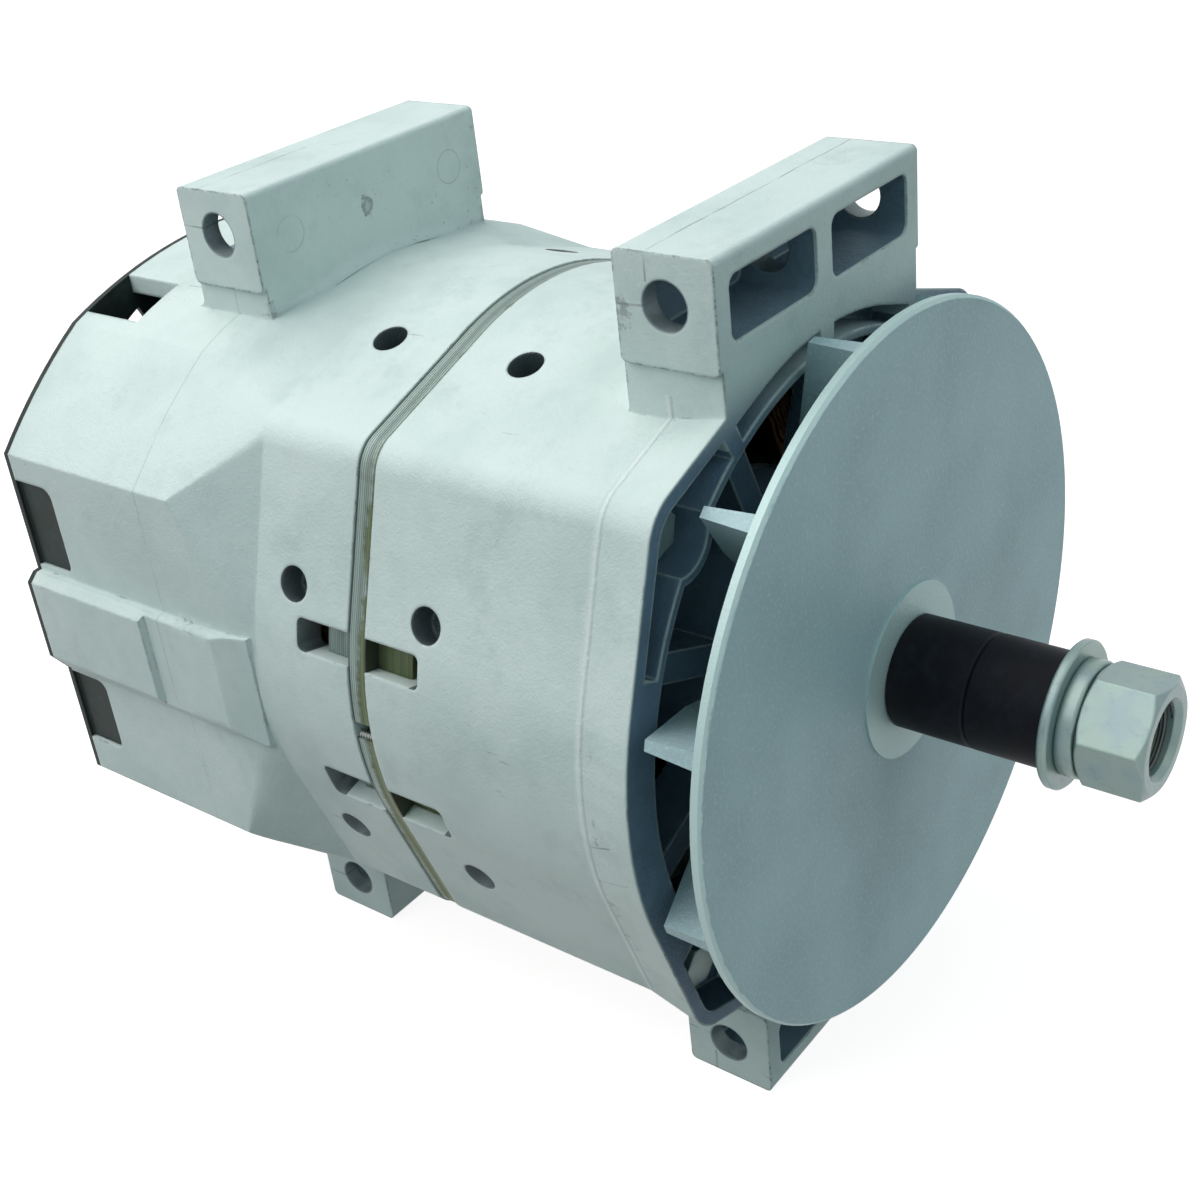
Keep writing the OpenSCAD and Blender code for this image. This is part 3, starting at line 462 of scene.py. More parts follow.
def cast_aluminium():
    """Pale as-cast skin with grain, clouds, soft edges, scuffs, parting lines and drilled holes, painted
    shade behind the fan and in the bars' windows, and a painted highlight on the crest.
    """
    look = bpy.context.scene.alternator_casting
    made, tree, shader, place = start("cast_aluminium")
    x, y, z = coordinates(tree, place)
    clouds = noise(tree, place, 40 * MM, detail=5, roughness=0.6)
    edge_mask, rounded = edges(tree, fillet(tree, x, y, z, look.edge))
    # Where shade is painted: behind the fan, inside the bell and in the bars' windows
    painted_shade = painted_shade_behind_fan(tree, x, y, z)
    bores, blind = bored(tree, y, z), pitted(tree, x, y, z)
    drilled = larger(tree, bores, blind)
    lines = marks(tree, place, look.parting_y)
    crest, crumbs = ridge(tree, place)

    # Colour: clouds, dirt, the painted shade behind the fan, the holes, then single marks and the
    # painted highlight on the crest
    colour = blend(tree, ramp(tree, clouds, 0.38, 0.78), look.color, look.shade_color)
    stains = ramp(tree, noise(tree, place, 17 * MM, detail=7, roughness=0.7), 0.50, 0.74)
    colour = blend(tree, times(tree, stains, 0.5), colour, scaled(look.shade_color, 0.88))
    speckle = ramp(tree, noise(tree, place, look.grain * 1.8, detail=2), 0.60, 0.9)
    colour = blend(tree, times(tree, speckle, 0.8), colour, look.shade_color)
    colour = blend(tree, scuffs(tree, place, edge_mask), colour, look.scuff_color)
    # Painted shade: a mottled dark blue-grey behind the fan, left off the edges so that the lips show
    # pale as painted highlights
    mottled = noise(tree, place, 5 * MM, detail=3)
    face = blend(tree, mottled, look.painted_shade_color, scaled(look.painted_shade_color, 0.62))
    edges_left_pale = minus(tree, 1.0, times(tree, edge_mask, 0.9))
    colour = blend(tree, times(tree, painted_shade, edges_left_pale), colour, face)
    colour = blend(tree, bores, colour, look.drilled_color)
    # Painted shade: the blind holes are painted darker than the bores, for the shade in their hollows
    colour = blend(tree, blind, colour, scaled(look.drilled_color, 0.6))
    broken = ramp(tree, noise(tree, place, 9 * MM, detail=3), 0.30, 0.60)
    broken = times(tree, lines, broken)
    colour = blend(tree, times(tree, broken, 0.5), colour, look.scuff_color)
    torn = blemish(tree, place, *TORN_SPOT, pale=0.55)
    smeared = ramp(tree, noise(tree, place, 1.8 * MM, detail=5, roughness=0.7), 0.40, 0.60)
    stained = times(tree, blemish(tree, place, *STAIN, pale=0.0), smeared)
    spoiled = larger(tree, times(tree, torn, 0.62), times(tree, stained, 0.5))
    colour = blend(tree, spoiled, colour, look.scuff_color)
    # Painted highlight: a pale line along the crest where the bell flares out
    colour = blend(tree, times(tree, crest, 0.4), colour, CREST_HIGHLIGHT)
    colour = blend(tree, times(tree, crumbs, 0.55), colour, look.scuff_color)
    connect(tree, colour, shader.inputs["Base Color"])

    # Shine: the drilled holes are brighter and smoother than the cast skin
    connect(tree, spread(tree, drilled, 0.06, 0.45), shader.inputs["Metallic"])
    roughness = minus(tree, spread(tree, clouds, 0.50, 0.64), times(tree, drilled, 0.22))
    connect(tree, roughness, shader.inputs["Roughness"])
    shader.inputs["Specular IOR Level"].default_value = 0.38

    # Relief: waves, grain, raised lines and crest, sand marks, and turned rings in the holes
    waves = noise(tree, place, 7 * MM, detail=2)
    grain = noise(tree, place, look.grain, detail=4, roughness=0.65)
    sand = noise(tree, place, 1.1 * MM, detail=4, roughness=0.6)
    sand = times(tree, sand, spread(tree, painted_shade, 0.3, 1.0))
    rings = node(tree, "ShaderNodeTexWave", wave_type="BANDS", bands_direction="X", Scale=900.0,
                 Distortion=1.5, Detail=1.0)
    connect(tree, place, rings.inputs["Vector"])
    turned = times(tree, rings.outputs["Fac"], drilled)
    layers = ((waves, 0.30 * MM, 0.6), (grain, 0.15 * MM, 0.8), (lines, 0.16 * MM, 0.9),
              (crest, 0.45 * MM, 0.8), (sand, 0.35 * MM, 0.8), (turned, 0.10 * MM, 0.8))
    normal = rounded
    for layer, distance, strength in layers:
        normal = relief(tree, layer, distance, strength, normal)
    connect(tree, normal, shader.inputs["Normal"])
    return made


def fillet(tree, x, y, z, width):
    """Width of the rounding: that of the cast edges, and more at the foot of the rear bars."""
    foot = times(tree, near(tree, length_of(tree, x, z), BAR_FOOT_RADIUS, 7 * MM),
                 near(tree, y, REAR_BAR_FACE_Y, 6 * MM))
    return spread(tree, foot, width, BAR_FOOT_ROUNDING)


def ridge(tree, place):
    """The rough crest where the bell flares out, and the dark crumbs beside it."""
    x, y, z = coordinates(tree, place)
    flank = more_than(tree, length_of(tree, x, z), FLANK_RADIUS)
    beside = less_than(tree, absolute(tree, z), NECK_HEIGHT)
    zone = times(tree, flank, beside)
    rough = noise(tree, place, 3 * MM, detail=6, roughness=0.75)
    away = absolute(tree, minus(tree, y, CREST_Y))
    away = plus(tree, away, times(tree, rough, 0.9 * MM))
    crest = times(tree, ramp(tree, times(tree, away, -1.0), -1.7 * MM, -0.6 * MM), zone)
    patch = ramp(tree, noise(tree, place, 16 * MM, detail=2), 0.48, 0.60)
    crumbs = times(tree, ramp(tree, rough, 0.56, 0.64), near(tree, y, CREST_Y - 2.2 * MM, 1.5 * MM))
    return crest, times(tree, times(tree, crumbs, patch), zone)


def scuffs(tree, place, edge_mask):
    """Handling marks: rubbed edges, crumbled bar ends, short scratches, pits and faint smudges."""
    x, _, z = coordinates(tree, place)
    ends = times(tree, more_than(tree, absolute(tree, x), BAR_END_X - 2.5 * MM),
                 more_than(tree, absolute(tree, z), NECK_HEIGHT))
    crumbs = ramp(tree, noise(tree, place, 2.6 * MM, detail=6, roughness=0.8), 0.50, 0.58)
    on_ends = times(tree, times(tree, ends, edge_mask), times(tree, crumbs, 0.8))
    pits = ramp(tree, noise(tree, place, 1.2 * MM, detail=3, roughness=0.6), 0.70, 0.76)
    pits = times(tree, pits, ramp(tree, noise(tree, place, 24 * MM, detail=2), 0.46, 0.62))
    patchy = ramp(tree, noise(tree, place, 8 * MM, detail=5, roughness=0.75), 0.54, 0.62)
    on_edges = times(tree, times(tree, edge_mask, patchy), 0.55)
    thin = noise(tree, stretched(tree, place, 1, 9, 1), 1.3 * MM, detail=3, roughness=0.6)
    where = ramp(tree, noise(tree, place, 34 * MM, detail=2), 0.56, 0.70)
    scratches = times(tree, ramp(tree, thin, 0.66, 0.72), where)
    smudge = noise(tree, place, 13 * MM, detail=7, roughness=0.75, distortion=0.5)
    smudge = ramp(tree, smudge, 0.70, 0.80)
    found = larger(tree, times(tree, scratches, 0.5), times(tree, smudge, 0.4))
    found = larger(tree, found, times(tree, pits, 0.4))
    return larger(tree, larger(tree, on_edges, on_ends), found)


def painted_shade_behind_fan(tree, x, y, z):
    """How much painted shade the casting gets, where the fan and the bars shade it: 1 behind the fan and
    inside the bell, less in the windows of the bars, and a fifth on the front of the lower bar.
    """
    radius, facing_out, along = outward(tree, x, z)
    ahead = ramp(tree, times(tree, along, -1.0), 0.35, 0.7)
    inside = larger(tree, less_than(tree, facing_out, -0.2), less_than(tree, radius, BELL_RADIUS))
    zone = less_than(tree, y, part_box("drive_end_frame")[0].y + 40 * MM)
    height = absolute(tree, z)
    below_bars = ramp(tree, times(tree, height, -1.0), -81 * MM, -66 * MM)
    lower_bar = times(tree, less_than(tree, z, -84 * MM), 0.2)
    face = times(tree, larger(tree, ahead, inside), zone)
    face = times(tree, face, larger(tree, below_bars, lower_bar))
    windows = times(tree, near(tree, height, WINDOW_HEIGHT, WINDOW_HALF_HEIGHT),
                    near(tree, absolute(tree, x), WINDOW_X, WINDOW_HALF_X))
    for middle in WINDOWS_Y:
        within = near(tree, y, middle, 10.2 * MM)
        face = larger(tree, face, times(tree, times(tree, within, windows), 0.9))
    return face


def bored(tree, y, z):
    """1 inside the four mounting bores, whose axes lie along X."""
    up = minus(tree, absolute(tree, z), BORE_HEIGHT)
    front, rear = (less_than(tree, length_of(tree, minus(tree, y, along), up), BORE_RADIUS + 0.25 * MM)
                   for along in (FRONT_BORE_Y, REAR_BORE_Y))
    return larger(tree, front, rear)


def pitted(tree, x, y, z):
    """1 inside the blind holes round the barrel, found by their rows, floors and sideways walls."""
    radius, facing_out, _ = outward(tree, x, z)
    sunk = larger(tree, less_than(tree, facing_out, 0.5), less_than(tree, radius, HOLE_FLOOR_RADIUS))
    front, rear = (near(tree, y, middle, 4.3 * MM) for middle in HOLE_ROWS_Y)
    return times(tree, sunk, larger(tree, front, rear))


def seam(tree, place, value, middle, half, *spans):
    """1 on a thin line where value is near the middle, inside each span of (coordinate, low, high)."""
    sway = minus(tree, noise(tree, place, 12 * MM, detail=4), 0.5)
    found = near(tree, plus(tree, value, times(tree, sway, 1.2 * MM)), middle, half)
    for coordinate, low, high in spans:
        found = times(tree, found, near(tree, coordinate, (low + high) / 2, (high - low) / 2))
    return found


def marks(tree, place, parting_y):
    """Parting lines on the box, the bars and their ends, two scratches and the rings of ejector pins."""
    x, y, z = coordinates(tree, place)
    height = absolute(tree, z)
    bar_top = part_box("rear_frame")[1].z
    round_box = seam(tree, place, y, parting_y, 0.15 * MM, (height, 0, BORE_HEIGHT - 13 * MM))
    found = [
        times(tree, round_box, 0.5),
        seam(tree, place, y, FRONT_BORE_Y + 4.2 * MM, 0.22 * MM,
             (height, BORE_HEIGHT + 4.5 * MM, bar_top + MM)),
        seam(tree, place, y, REAR_BORE_Y + 4.6 * MM, 0.22 * MM,
             (height, bar_top - 0.4 * MM, bar_top + MM), (x, -BAR_END_X, -4 * MM)),
        seam(tree, place, height, BORE_HEIGHT + 1.2 * MM, 0.2 * MM,
             (y, REAR_BORE_Y + 4 * MM, REAR_BORE_Y + 14 * MM)),
        seam(tree, place, height, BORE_HEIGHT - 0.6 * MM, 0.25 * MM,
             (y, FRONT_BORE_Y + 4 * MM, FRONT_BORE_Y + 14 * MM)),
    ]
    slant = plus(tree, z, times(tree, y, 0.4))
    for offset, ahead in SCRATCHES:
        found.append(seam(tree, place, slant, offset, 0.22 * MM, (y, ahead, 32 * MM),
                          (x, -95 * MM, -70 * MM)))
    for across in PIN_MARKS_X:
        away = length_of(tree, minus(tree, x, across), minus(tree, height, PIN_MARK_HEIGHT))
        ring = times(tree, near(tree, away, PIN_MARK_RADIUS, 0.16 * MM), 0.55)
        found.append(times(tree, ring, near(tree, y, REAR_BAR_FACE_Y, 0.4 * MM)))
    total = found[0]
    for one in found[1:]:
        total = larger(tree, total, one)
    return total


def blemish(tree, place, x, y, z, radius, pale):
    """A ragged dark spot, higher than wide, whose middle is that share paler: torn or stained skin."""
    offset = node(tree, "ShaderNodeVectorMath", operation="SUBTRACT")
    connect(tree, place, offset.inputs[0])
    offset.inputs[1].default_value = (x, y, z)
    length = node(tree, "ShaderNodeVectorMath", operation="LENGTH")
    connect(tree, stretched(tree, offset.outputs[0], 0.65, 0.8, 1.25), length.inputs[0])
    rough = minus(tree, noise(tree, place, radius, detail=6, roughness=0.75), 0.5)
    inward = minus(tree, times(tree, rough, 2.4 * radius), length.outputs["Value"])
    spot = ramp(tree, inward, -1.0 * radius, -0.8 * radius)
    middle = times(tree, ramp(tree, inward, -0.7 * radius, -0.35 * radius), pale)
    return times(tree, spot, minus(tree, 1.0, middle))


def cast_fan():
    """Matte grey-blue casting, with a paler turned rim that is chipped, and a bright hub face."""
    look = bpy.context.scene.alternator_fan
    made, tree, shader, place = start("fan_casting")
    x, y, z = coordinates(tree, place)
    radius = length_of(tree, x, z)
    clouds = noise(tree, place, 30 * MM, detail=4)
    colour = blend(tree, ramp(tree, clouds, 0.3, 0.8), look.color, scaled(look.color, 0.86))
    speckle = noise(tree, place, 0.9 * MM, detail=2)
    colour = blend(tree, ramp(tree, speckle, 0.45, 0.95), colour, scaled(look.color, 1.25))
    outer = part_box("fan")[1].x
    chips = noise(tree, place, 3.2 * MM, detail=4, roughness=0.75)
    ragged = plus(tree, radius, times(tree, chips, 1.2 * MM))
    rim = more_than(tree, ragged, outer - 0.05 * MM)
    hub_face = times(tree, less_than(tree, radius, FAN_HUB_RADIUS), less_than(tree, y, FAN_HUB_FACE_Y))
    bright = larger(tree, rim, hub_face)
    colour = blend(tree, bright, colour, look.rim_color)
    connect(tree, colour, shader.inputs["Base Color"])
    connect(tree, spread(tree, bright, 0.1, 0.35), shader.inputs["Metallic"])
    connect(tree, spread(tree, clouds, 0.5, 0.62), shader.inputs["Roughness"])
    grain = noise(tree, place, 0.6 * MM, detail=3)
    connect(tree, relief(tree, grain, 0.16 * MM, 0.8), shader.inputs["Normal"])
    return made


def plated_steel():
    """Grey plating with a faint change of tint, dark spots, painted highlights on the edges and fine
    handling marks.
    """
    look = bpy.context.scene.alternator_steel
    made, tree, shader, place = start("zinc_steel")
    clouds = noise(tree, place, 6 * MM, detail=3)
    colour = blend(tree, ramp(tree, clouds, 0.35, 0.7), look.zinc_color, look.zinc_tint)
    spots = ramp(tree, noise(tree, place, 3.0 * MM, detail=6, roughness=0.75), 0.52, 0.72)
    colour = blend(tree, times(tree, spots, 0.35), colour, scaled(look.zinc_color, 0.5))
    edge_mask, rounded = edges(tree, 0.7 * MM)
    # Painted highlights: the plating's edges are painted paler
    colour = blend(tree, times(tree, edge_mask, 0.6), colour, scaled(look.zinc_color, 1.7))
    connect(tree, colour, shader.inputs["Base Color"])
    shader.inputs["Metallic"].default_value = 0.4
    scratches = noise(tree, place, 0.8 * MM, detail=5, roughness=0.7)
    connect(tree, spread(tree, scratches, 0.28, 0.44), shader.inputs["Roughness"])
    connect(tree, relief(tree, scratches, 0.04 * MM, 0.6, rounded), shader.inputs["Normal"])
    return made


def black_steel():
    """Black oxide with a low sheen, dust and rubbed edges."""
    look = bpy.context.scene.alternator_steel
    made, tree, shader, place = start("black_steel")
    clouds = noise(tree, place, 5 * MM, detail=5, roughness=0.65)
    colour = blend(tree, ramp(tree, clouds, 0.4, 0.8), look.black_color, scaled(look.black_color, 2.2))
    edge_mask, rounded = edges(tree, 0.35 * MM)
    colour = blend(tree, times(tree, edge_mask, 0.3), colour, WORN_SLEEVE)
    connect(tree, colour, shader.inputs["Base Color"])
    connect(tree, spread(tree, clouds, 0.42, 0.56), shader.inputs["Roughness"])
    shader.inputs["Specular IOR Level"].default_value = 0.1
    turned = noise(tree, place, 0.5 * MM, detail=3)
    connect(tree, relief(tree, turned, 0.03 * MM, 0.5, rounded), shader.inputs["Normal"])
    return made


def painted_cover():
    """Dull dark paint with dust in its grain and rubbed edges."""
    look = bpy.context.scene.alternator_steel
    made, tree, shader, place = start("cover_paint")
    dust = noise(tree, place, 9 * MM, detail=6, roughness=0.7)
    colour = blend(tree, ramp(tree, dust, 0.42, 0.75), look.cover_color, scaled(look.cover_color, 2.0))
    edge_mask, rounded = edges(tree, 0.5 * MM)
    colour = blend(tree, times(tree, edge_mask, 0.4), colour, WORN_COVER)
    connect(tree, colour, shader.inputs["Base Color"])
    connect(tree, spread(tree, dust, 0.48, 0.66), shader.inputs["Roughness"])
    shader.inputs["Specular IOR Level"].default_value = 0.2
    peel = noise(tree, place, 1.1 * MM, detail=3)
    connect(tree, relief(tree, peel, 0.05 * MM, 0.6, rounded), shader.inputs["Normal"])
    return made


def sheet_stack():
    """Edges of stacked steel sheets: dark joints, grey at the rear and varnished at the front, with a
    painted shadow along both edges of the band where it meets the frames.
    """
    look = bpy.context.scene.alternator_steel
    made, tree, shader, place = start("lamination_steel")
    _, y, z = coordinates(tree, place)
    low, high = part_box("stator_core")
    middle = (low.y + high.y) / 2
    wobble = times(tree, noise(tree, place, 14 * MM, detail=2), 0.12 * MM)
    along = ratio(tree, plus(tree, y, wobble), look.sheet_thickness)
    joint = absolute(tree, minus(tree, math_node(tree, "FRACT", along), 0.5))
    groove = ramp(tree, joint, 0.30, 0.48)
    sheet = node(tree, "ShaderNodeTexWhiteNoise", noise_dimensions="1D")
    connect(tree, math_node(tree, "FLOOR", along), sheet.inputs["W"])
    bright = blend(tree, sheet.outputs["Value"], look.sheet_color, scaled(look.sheet_color, 0.74))
    varnish = blend(tree, sheet.outputs["Value"], look.varnish_color, scaled(look.varnish_color, 0.66))
    drift = times(tree, noise(tree, place, 9 * MM, detail=5, roughness=0.7), 9 * MM)
    drift = plus(tree, drift, times(tree, z, 0.035))
    drift = times(tree, plus(tree, y, drift), -1.0)
    front = ramp(tree, drift, -middle - 5.6 * MM, -middle - 3.8 * MM)
    colour = blend(tree, front, bright, varnish)
    stains = noise(tree, stretched(tree, place, 1, 4, 1), 6 * MM, detail=5, roughness=0.7)
    colour = blend(tree, times(tree, ramp(tree, stains, 0.55, 0.8), 0.55), colour, CORE_STAIN)
    colour = blend(tree, times(tree, groove, 0.7), colour, CORE_JOINT)
    # Painted shadow: dark lines along both edges of the band, in the gap to the frames
    away = absolute(tree, minus(tree, y, middle))
    edge_shadows = near(tree, away, 2.45 * MM, 0.35 * MM)
    colour = blend(tree, times(tree, edge_shadows, 0.75), colour, CORE_EDGE_SHADOW)
    connect(tree, colour, shader.inputs["Base Color"])
    shader.inputs["Metallic"].default_value = 0.35
    connect(tree, spread(tree, sheet.outputs["Value"], 0.42, 0.58), shader.inputs["Roughness"])
    height = minus(tree, 1.0, groove)
    connect(tree, relief(tree, height, 0.12 * MM, 0.9), shader.inputs["Normal"])
    return made


def wound_wire():
    """Varnished copper wire, drawn as fine bundled strands."""
    made, tree, shader, place = start("copper_wire")
    color = PLAIN_COLORS["copper_wire"]
    strands = node(tree, "ShaderNodeTexWave", wave_type="RINGS", rings_direction="Y", Scale=260.0,
                   Distortion=4.0, Detail=2.0)
    connect(tree, place, strands.inputs["Vector"])
    colour = blend(tree, strands.outputs["Fac"], scaled(color, 0.45), color)
    connect(tree, colour, shader.inputs["Base Color"])
    shader.inputs["Metallic"].default_value = 0.6
    shader.inputs["Roughness"].default_value = 0.3
    connect(tree, relief(tree, strands.outputs["Fac"], 0.4 * MM, 0.8), shader.inputs["Normal"])
    return made


def turned_metal(name, roughness, metallic=1.0):
    """Metal turned on a lathe, with fine rings along the shaft."""
    made, tree, shader, place = start(name)
    color = PLAIN_COLORS[name]
    rings = node(tree, "ShaderNodeTexWave", wave_type="BANDS", bands_direction="Y", Scale=1400.0,
                 Distortion=0.6, Detail=1.0)
    connect(tree, place, rings.inputs["Vector"])
    clouds = noise(tree, place, 7 * MM, detail=3)
    colour = blend(tree, ramp(tree, clouds, 0.4, 0.8), color, scaled(color, 0.75))
    connect(tree, colour, shader.inputs["Base Color"])
    shader.inputs["Metallic"].default_value = metallic
    connect(tree, spread(tree, clouds, roughness, roughness + 0.15), shader.inputs["Roughness"])
    connect(tree, relief(tree, rings.outputs["Fac"], 0.03 * MM, 0.5), shader.inputs["Normal"])
    return made


def moulded_plastic(name, roughness):
    """Moulded plastic with a fine texture and slight flow marks."""
    made, tree, shader, place = start(name)
    color = PLAIN_COLORS[name]
    flow = noise(tree, place, 14 * MM, detail=4)
    pale = tuple(part * 1.6 + 0.01 for part in color)
    colour = blend(tree, ramp(tree, flow, 0.3, 0.8), color, pale)
    connect(tree, colour, shader.inputs["Base Color"])
    connect(tree, spread(tree, flow, roughness, roughness + 0.12), shader.inputs["Roughness"])
    skin = noise(tree, place, 0.5 * MM, detail=3)
    connect(tree, relief(tree, skin, 0.04 * MM, 0.6), shader.inputs["Normal"])
    return made


def direct_look(tree):
    """1 where a thing is seen, also in a mirror or through glass, and 0 where it only lights others."""
    rays = node(tree, "ShaderNodeLightPath")
    seen = larger(tree, rays.outputs["Is Camera Ray"], rays.outputs["Is Glossy Ray"])
    return larger(tree, seen, rays.outputs["Is Transmission Ray"])


def finish_nodes(material, *names):
    """Gives CAD nodes a finish."""
    for name in names:
        data = NODES[name].data
        data.materials.clear()
        data.materials.append(material)


# Meshes

def mesh_piece(name, vertices, faces, material, body):
    """A closed, smooth mesh piece that rides on a body."""
    data = bpy.data.meshes.new(name)
    data.from_pydata([tuple(v) for v in vertices], [], faces)
    data.validate()
    shell = bmesh.new()
    shell.from_mesh(data)
    bmesh.ops.recalc_face_normals(shell, faces=shell.faces)
    shell.to_mesh(data)
    shell.free()
    data.polygons.foreach_set("use_smooth", [True] * len(data.polygons))
    data.materials.append(material)
    made = bpy.data.objects.new(name, data)
    bpy.context.scene.collection.objects.link(made)
    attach(made, body)
    return made


def helix(radius, pitch, start_y, end_y, depth, steps, inward=False, centre=(0.0, 0.0)):
    """A closed ridge of V section, wound from start_y to end_y round a line along Y at centre (x, z)."""
    turns = (end_y - start_y - pitch) / pitch
    count = max(2, int(turns * steps))
    side = -1 if inward else 1
    vertices, faces = [], []
    for i in range(count + 1):
        angle = 2 * math.pi * i / steps
        middle = start_y + pitch / 2 + (end_y - start_y - pitch) * i / count
        fade = min(1.0, i / (steps / 3), (count - i) / (steps / 3))
        tip = radius + side * depth * fade
        root = radius - side * depth * 0.25
        foot, crest = pitch * 0.46, pitch * 0.07
        for r, y in ((root, middle - foot), (tip, middle - crest), (tip, middle + crest),
                     (root, middle + foot)):
            vertices.append(Vector((centre[0] + r * math.cos(angle), y,
                                    centre[1] + r * math.sin(angle))))
    for i in range(count):
        for k in range(4):
            a, b = 4 * i + k, 4 * i + (k + 1) % 4
            faces.append((a, b, b + 4, a + 4))
    faces.append((0, 1, 2, 3))
    faces.append(tuple(4 * count + k for k in (3, 2, 1, 0)))
    return vertices, faces


def weld_bead(start_y, end_y, radius, ripple):
    """A closed bead along the shaft's direction, with slanting ripples and tapered ends."""
    rings, sides = max(12, int((end_y - start_y) / ripple * 8)), 14
    vertices, faces = [], []
    for i in range(rings + 1):
        share = i / rings
        end = math.sqrt(max(0.04, min(1.0, share * 12, (1 - share) * 12)))
        for k in range(sides):
            angle = 2 * math.pi * k / sides
            y = start_y + (end_y - start_y) * share
            swell = 1 + 0.30 * math.cos(2 * math.pi * y / ripple + 1.2 * math.sin(angle))
            vertices.append(Vector((radius * end * swell * math.cos(angle), y,
                                    radius * end * swell * math.sin(angle))))
    for i in range(rings):
        for k in range(sides):
            a, b = sides * i + k, sides * i + (k + 1) % sides
            faces.append((a, b, b + sides, a + sides))
    faces.append(tuple(range(sides)))
    faces.append(tuple(sides * rings + k for k in reversed(range(sides))))
    return vertices, faces


# Operators

class StageOperator(Operator):
    """Makes the floor, the lamps, the sky and the camera"""
    bl_idname = "alternator.stage"
    bl_label = "Stage, light and camera"

    def execute(self, context):
        scene = context.scene
        scene.view_settings.view_transform = "Standard"
        self.place_camera(scene)
        self.lay_floor(scene.alternator_stage)
        self.hang_lamps(scene.alternator_stage)
        self.paint_sky(scene)
        return {"FINISHED"}

    def place_camera(self, scene):
        settings = scene.alternator_camera
        a, e = settings.azimuth, settings.elevation
        back = Vector((math.sin(a) * math.cos(e), -math.cos(a) * math.cos(e), math.sin(e)))
        upright = (-back).to_track_quat("-Z", "Y").to_matrix().to_4x4()
        data = bpy.data.cameras.new("camera")
        data.lens = settings.lens
        data.sensor_width = 36.0
        data.clip_start = 0.01
        camera = bpy.data.objects.new("camera", data)
        camera.matrix_world = (Matrix.Translation(Vector(settings.location)) @ upright
                               @ Matrix.Rotation(settings.roll, 4, "Z"))
        scene.collection.objects.link(camera)
        scene.camera = camera

    def lay_floor(self, settings):
        half, level = 6.0, CAD_BOX[0].z
        corners = [(x * half, y * half, level) for x, y in ((-1, -1), (1, -1), (1, 1), (-1, 1))]
        data = bpy.data.meshes.new("floor")
        data.from_pydata(corners, [], [(0, 1, 2, 3)])
        made, tree, shader, place = start("floor_paint")
        shader.inputs["Roughness"].default_value = 0.9
        shader.inputs["Specular IOR Level"].default_value = 0.1
        mottled = noise(tree, place, 0.3, detail=3)
        connect(tree, blend(tree, mottled, settings.floor_color, scaled(settings.floor_color, 0.97)),
                shader.inputs["Base Color"])
        seen = node(tree, "ShaderNodeBsdfDiffuse")
        seen.inputs["Color"].default_value = (*SEEN_FLOOR, 1.0)
        glow = node(tree, "ShaderNodeEmission", Strength=settings.floor_glow)
        both = node(tree, "ShaderNodeAddShader")
        connect(tree, seen.outputs[0], both.inputs[0])
        connect(tree, glow.outputs[0], both.inputs[1])
        mix = node(tree, "ShaderNodeMixShader")
        connect(tree, direct_look(tree), mix.inputs[0])
        connect(tree, shader.outputs[0], mix.inputs[1])
        connect(tree, both.outputs[0], mix.inputs[2])
        connect(tree, mix.outputs[0], tree.nodes["Material Output"].inputs["Surface"])
        data.materials.append(made)
        floor = bpy.data.objects.new("floor", data)
        bpy.context.scene.collection.objects.link(floor)

    def hang_lamps(self, settings):
        middle = (CAD_BOX[0] + CAD_BOX[1]) / 2
        # Name, place in metres from the middle of the product, width in metres and power of each lamp
        lamps = (("key_lamp", (-0.86, 0.5, 0.95), 0.9, settings.key_power),
                 ("top_lamp", (-0.1, 0.6, 1.15), 1.1, settings.top_power),
                 ("front_lamp", (0.2, -1.0, 0.95), 0.8, settings.front_power))
        for name, offset, size, power in lamps:
            data = bpy.data.lights.new(name, "AREA")
            data.shape = "SQUARE"
            data.size = size
            data.energy = power
            if name != "front_lamp":
                data.color = settings.lamp_color
            lamp = bpy.data.objects.new(name, data)
            lamp.location = middle + Vector(offset)
            lamp.rotation_mode = "QUATERNION"
            lamp.rotation_quaternion = (-Vector(offset)).to_track_quat("-Z", "Y")
            bpy.context.scene.collection.objects.link(lamp)

    def paint_sky(self, scene):
        world = scene.world or bpy.data.worlds.new("sky")
        scene.world = world
        world.use_nodes = True
        tree = world.node_tree
        tree.nodes.clear()
        even = node(tree, "ShaderNodeBackground", Strength=scene.alternator_stage.sky_strength)
        even.inputs["Color"].default_value = (*scene.alternator_stage.sky_color, 1.0)
        white = node(tree, "ShaderNodeBackground", Strength=1.0)
        white.inputs["Color"].default_value = (1.0, 1.0, 1.0, 1.0)
        mix = node(tree, "ShaderNodeMixShader")
        connect(tree, direct_look(tree), mix.inputs[0])
        connect(tree, even.outputs[0], mix.inputs[1])
        connect(tree, white.outputs[0], mix.inputs[2])
        connect(tree, mix.outputs[0], node(tree, "ShaderNodeOutputWorld").inputs["Surface"])


class CastingsOperator(Operator):
    """Finishes the two cast frames and the rectifier plates"""
    bl_idname = "alternator.castings"
    bl_label = "Cast frames"

    def execute(self, context):
        finish_nodes(cast_aluminium(), "drive_end_frame", "rear_frame")
        finish_nodes(turned_metal("plate_aluminium", 0.4, 0.9), "negative_plate", "positive_plate")
        return {"FINISHED"}


class FanOperator(Operator):
    """Finishes the fan"""
    bl_idname = "alternator.fan"
    bl_label = "Fan"

    def execute(self, context):
        finish_nodes(cast_fan(), "fan")
        return {"FINISHED"}


